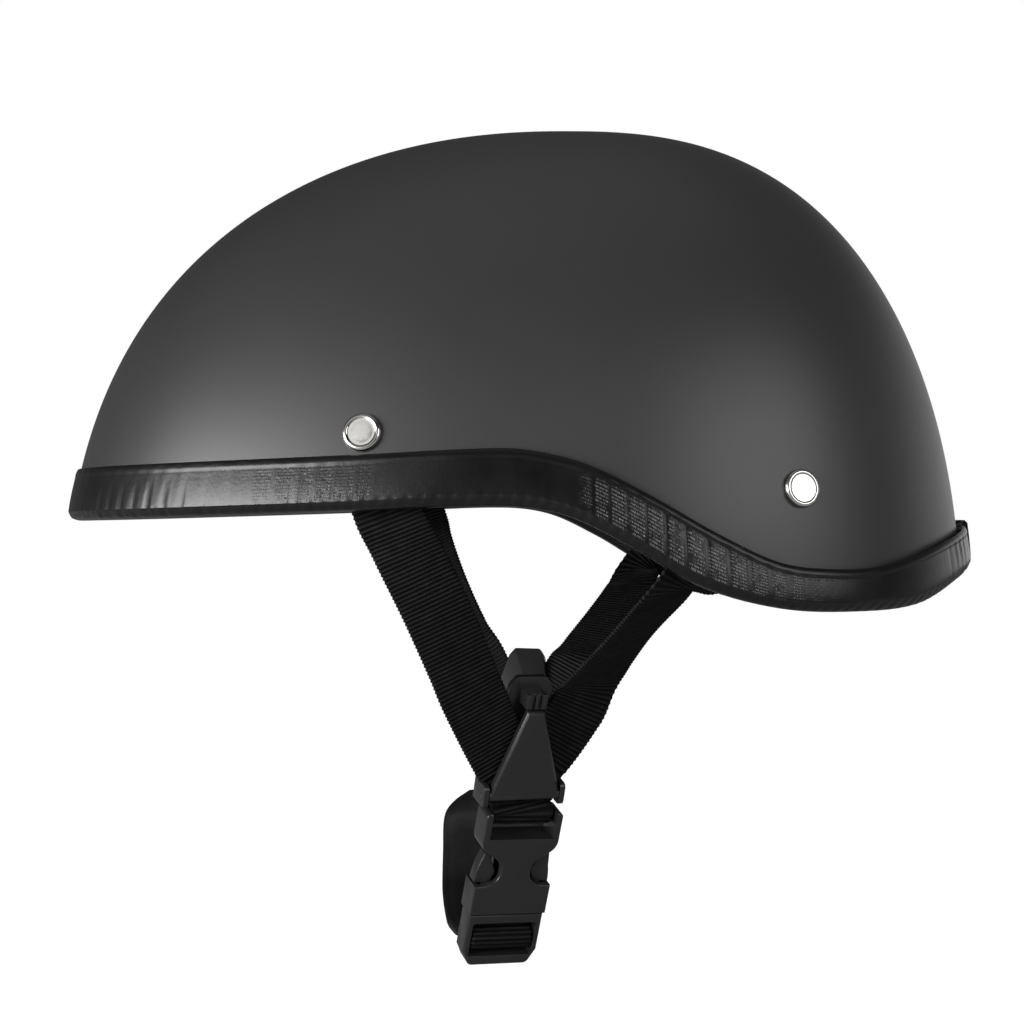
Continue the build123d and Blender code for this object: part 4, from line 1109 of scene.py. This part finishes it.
print("chin strap, pad and keeper")
chin = {
    "headDrop": 31.7,
    "backingLayer": 7.4,
    "low": 135.5,
    "forward": 8.0,
    "farPower": 3.4,
    "nearPower": 2.0,
    "bandShares": (0.96, 0.92, 0.8, 0.62, 0.3, 0.0, -0.26),
    "nearShares": (0.6, 0.85),
    "crossbarDrop": 43.4,
    "crossbarDeep": 4.2,
    "ladderSpan": 3.2,
    "ladderLeg": 3.6,
    "ladderEnd": 8.8,
    "tailExit": 11.0,
    # the tail's stations: place across, and how far it hangs below the load strap
    "tail": ((24.95, 3.38), (17.95, 2.91), (15.1, 2.87)),
    "tailBelow": 3.4,
    "padWidth": 39.0,
    "padShift": 5.0,
    # share of the way from the lowest point to the far end, and share of the pad's width
    "padShares": [
        (0.985, 0.58), (0.96, 0.84), (0.92, 1.0), (0.8, 0.96), (0.62, 0.9), (0.3, 0.79),
        (0.0, 0.72), (-0.15, 0.66), (-0.22, 0.6), (-0.26, 0.57),
    ],
    "bendFrom": (-0.047, -0.0031, -0.0942),
    "bendTo": (0.033, -0.0092, -0.1323),
}
# the far end hangs behind the right strap's fold, so it is the left one mirrored
mirror = np.array([-1, 1, 1])
headPoint, stitchPoint = (
    seatPoint(divider, hang["loopAside"], -drop, -chin["backingLayer"]) * mirror
    for drop in (chin["headDrop"], hang["foldDrop"])
)
stitchAcross = divider["across"] * mirror
ladderPoint = seatPoint(buckle, 0, chin["ladderLeg"] - chin["crossbarDrop"], -chin["ladderEnd"])


def chinCurve(x):
    # centre, width direction and run of the sag, where share is x over the end's x:
    # y = -forward + (y end + forward) * share ^ 2, z = -low + (z end + low) * share ^ power
    end, endAcross, power = ladderPoint, buckle["across"], chin["nearPower"]
    if x < 0:
        end, endAcross, power = stitchPoint, stitchAcross, chin["farPower"]
    share = x / end[0]
    ahead, rise = end[1] + chin["forward"], end[2] + chin["low"]
    centre = np.array([x, ahead * share ** 2 - chin["forward"], rise * share ** power - chin["low"]])
    run = unit(np.array([1, 2 * ahead * share / end[0], rise * power * share ** (power - 1) / end[0]]))
    return centre, np.array([0, 1, 0]) * (1 - share ** 2) + endAcross * share ** 2, run


def chinRun():
    # sewn behind the right strap, through the pad, round the ladder bar and back as the tail
    stations = [station(headPoint, stitchAcross), station(stitchPoint, stitchAcross)]
    places = [share * stitchPoint[0] for share in chin["bandShares"]]
    places += [share * ladderPoint[0] for share in chin["nearShares"]]
    for x in places:
        stations.append(station(*chinCurve(x)[:2]))
    stations.append(station(ladderPoint, buckle["across"]))
    stations += turnRound(buckle, 0, chin["crossbarDrop"], chin["crossbarDeep"], chin["ladderSpan"], -90, 90)
    tailPoint = seatPoint(buckle, 0, -chin["crossbarDrop"] - chin["ladderLeg"], -chin["tailExit"])
    stations.append(station(tailPoint, buckle["across"]))
    for x, below in chin["tail"]:
        centre, across, run = chinCurve(x)
        stations.append(station(centre + below * np.array([run[2], 0, -run[0]]), across))
    return stations


def padRun():
    # along the same sag, moved forward towards the far end
    stations = []
    for share, widthShare in chin["padShares"]:
        centre, across, run = chinCurve(share * stitchPoint[0])
        centre = centre - across * chin["padShift"] * max(share, 0)
        stations.append(station(centre, across, chin["padWidth"] * widthShare))
    return stations


chinBand = webbingBand("chinStrap", chinRun())
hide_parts("chin_strap")


sleeveMake = {
    "step": 0.8,
    "turns": 56,
    "widePower": 0.62,
    "highPower": 0.8,
    "thick": 5.4,
    "endThick": 3.0,
    "endRun": 9,
    "wrinkle": 0.18,
    "wrinkleRun": 3.3,
    "hemDepth": 0.35,
    "hemPlace": 0.86,
    "hemWidth": 0.045,
}


def chinSleeve():
    # a flattened tube along the chin's sag: a superellipse across, thin welded hems and a plumper middle
    centre, across, face, width, along = bandFrame(padRun(), sleeveMake["step"])
    turn = fullTurn(sleeveMake["turns"])[None, :]
    wide = roundPower(turn, sleeveMake["widePower"])[0]
    high = roundPower(turn, sleeveMake["highPower"])[1]
    end = np.minimum(along, along[-1] - along)
    plump = (sleeveMake["thick"] - sleeveMake["endThick"]) * smoothStep(end, 0, sleeveMake["endRun"])
    wrinkle = np.sin(along / sleeveMake["wrinkleRun"] + 1.2 * np.sin(turn)) * smoothStep(end, 1, 8)
    seam = np.exp(-((np.abs(wide) - sleeveMake["hemPlace"]) / sleeveMake["hemWidth"]) ** 2)
    half = (sleeveMake["endThick"] + plump) / 2 + wrinkle * sleeveMake["wrinkle"]
    half = half - seam * sleeveMake["hemDepth"]
    return centre + across * (wide * width / 2)[..., None] + face * (high * half)[..., None]


sleeve = meshFrom("chinSleeve", chinSleeve(), closeRound=True, capEnds=True)
faceOutwards(sleeve)
dress(sleeve, "sleeve")
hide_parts("chin_pad")


keeperMake = {
    "place": 21.0,
    "room": (21.0, 5.8),
    "wall": 1.2,
    "long": 6.0,
    "loopTurns": 96,
    "loopPower": 9,
    "stripTurns": 20,
    "stripPower": 0.4,
}


def keeperLoop():
    # a rounded rectangle round both layers, swept over a rounded strip
    middle, across, ahead = chinCurve(keeperMake["place"])
    face = np.cross(ahead, across)
    middle = middle - face * chin["tailBelow"] / 2
    size = (np.array(keeperMake["room"]) + keeperMake["wall"]) / 2
    turn = fullTurn(keeperMake["loopTurns"])
    spoke = np.stack([np.cos(turn), np.sin(turn)], -1)
    reach = 1 / np.sum(np.abs(spoke) ** keeperMake["loopPower"], axis=1) ** (1 / keeperMake["loopPower"])
    loop = spoke * reach[:, None] * size
    outward = unit(spoke / size * np.abs(spoke) ** 6)
    bend = fullTurn(keeperMake["stripTurns"])
    strip = roundPower(bend, keeperMake["stripPower"])
    long, deep = strip[0] * keeperMake["long"] / 2, strip[1] * keeperMake["wall"] / 2
    spot = loop[:, None, :] + outward[:, None, :] * deep[None, :, None]
    return middle + spot[..., 0:1] * across + spot[..., 1:2] * face + long[None, :, None] * ahead


keeper = meshFrom("strapKeeper", keeperLoop(), closeAlong=True, closeRound=True)
faceOutwards(keeper)
dress(keeper, "elastic")
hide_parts("strap_keeper")
for piece in (chinBand, sleeve, keeper):
    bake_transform(piece)
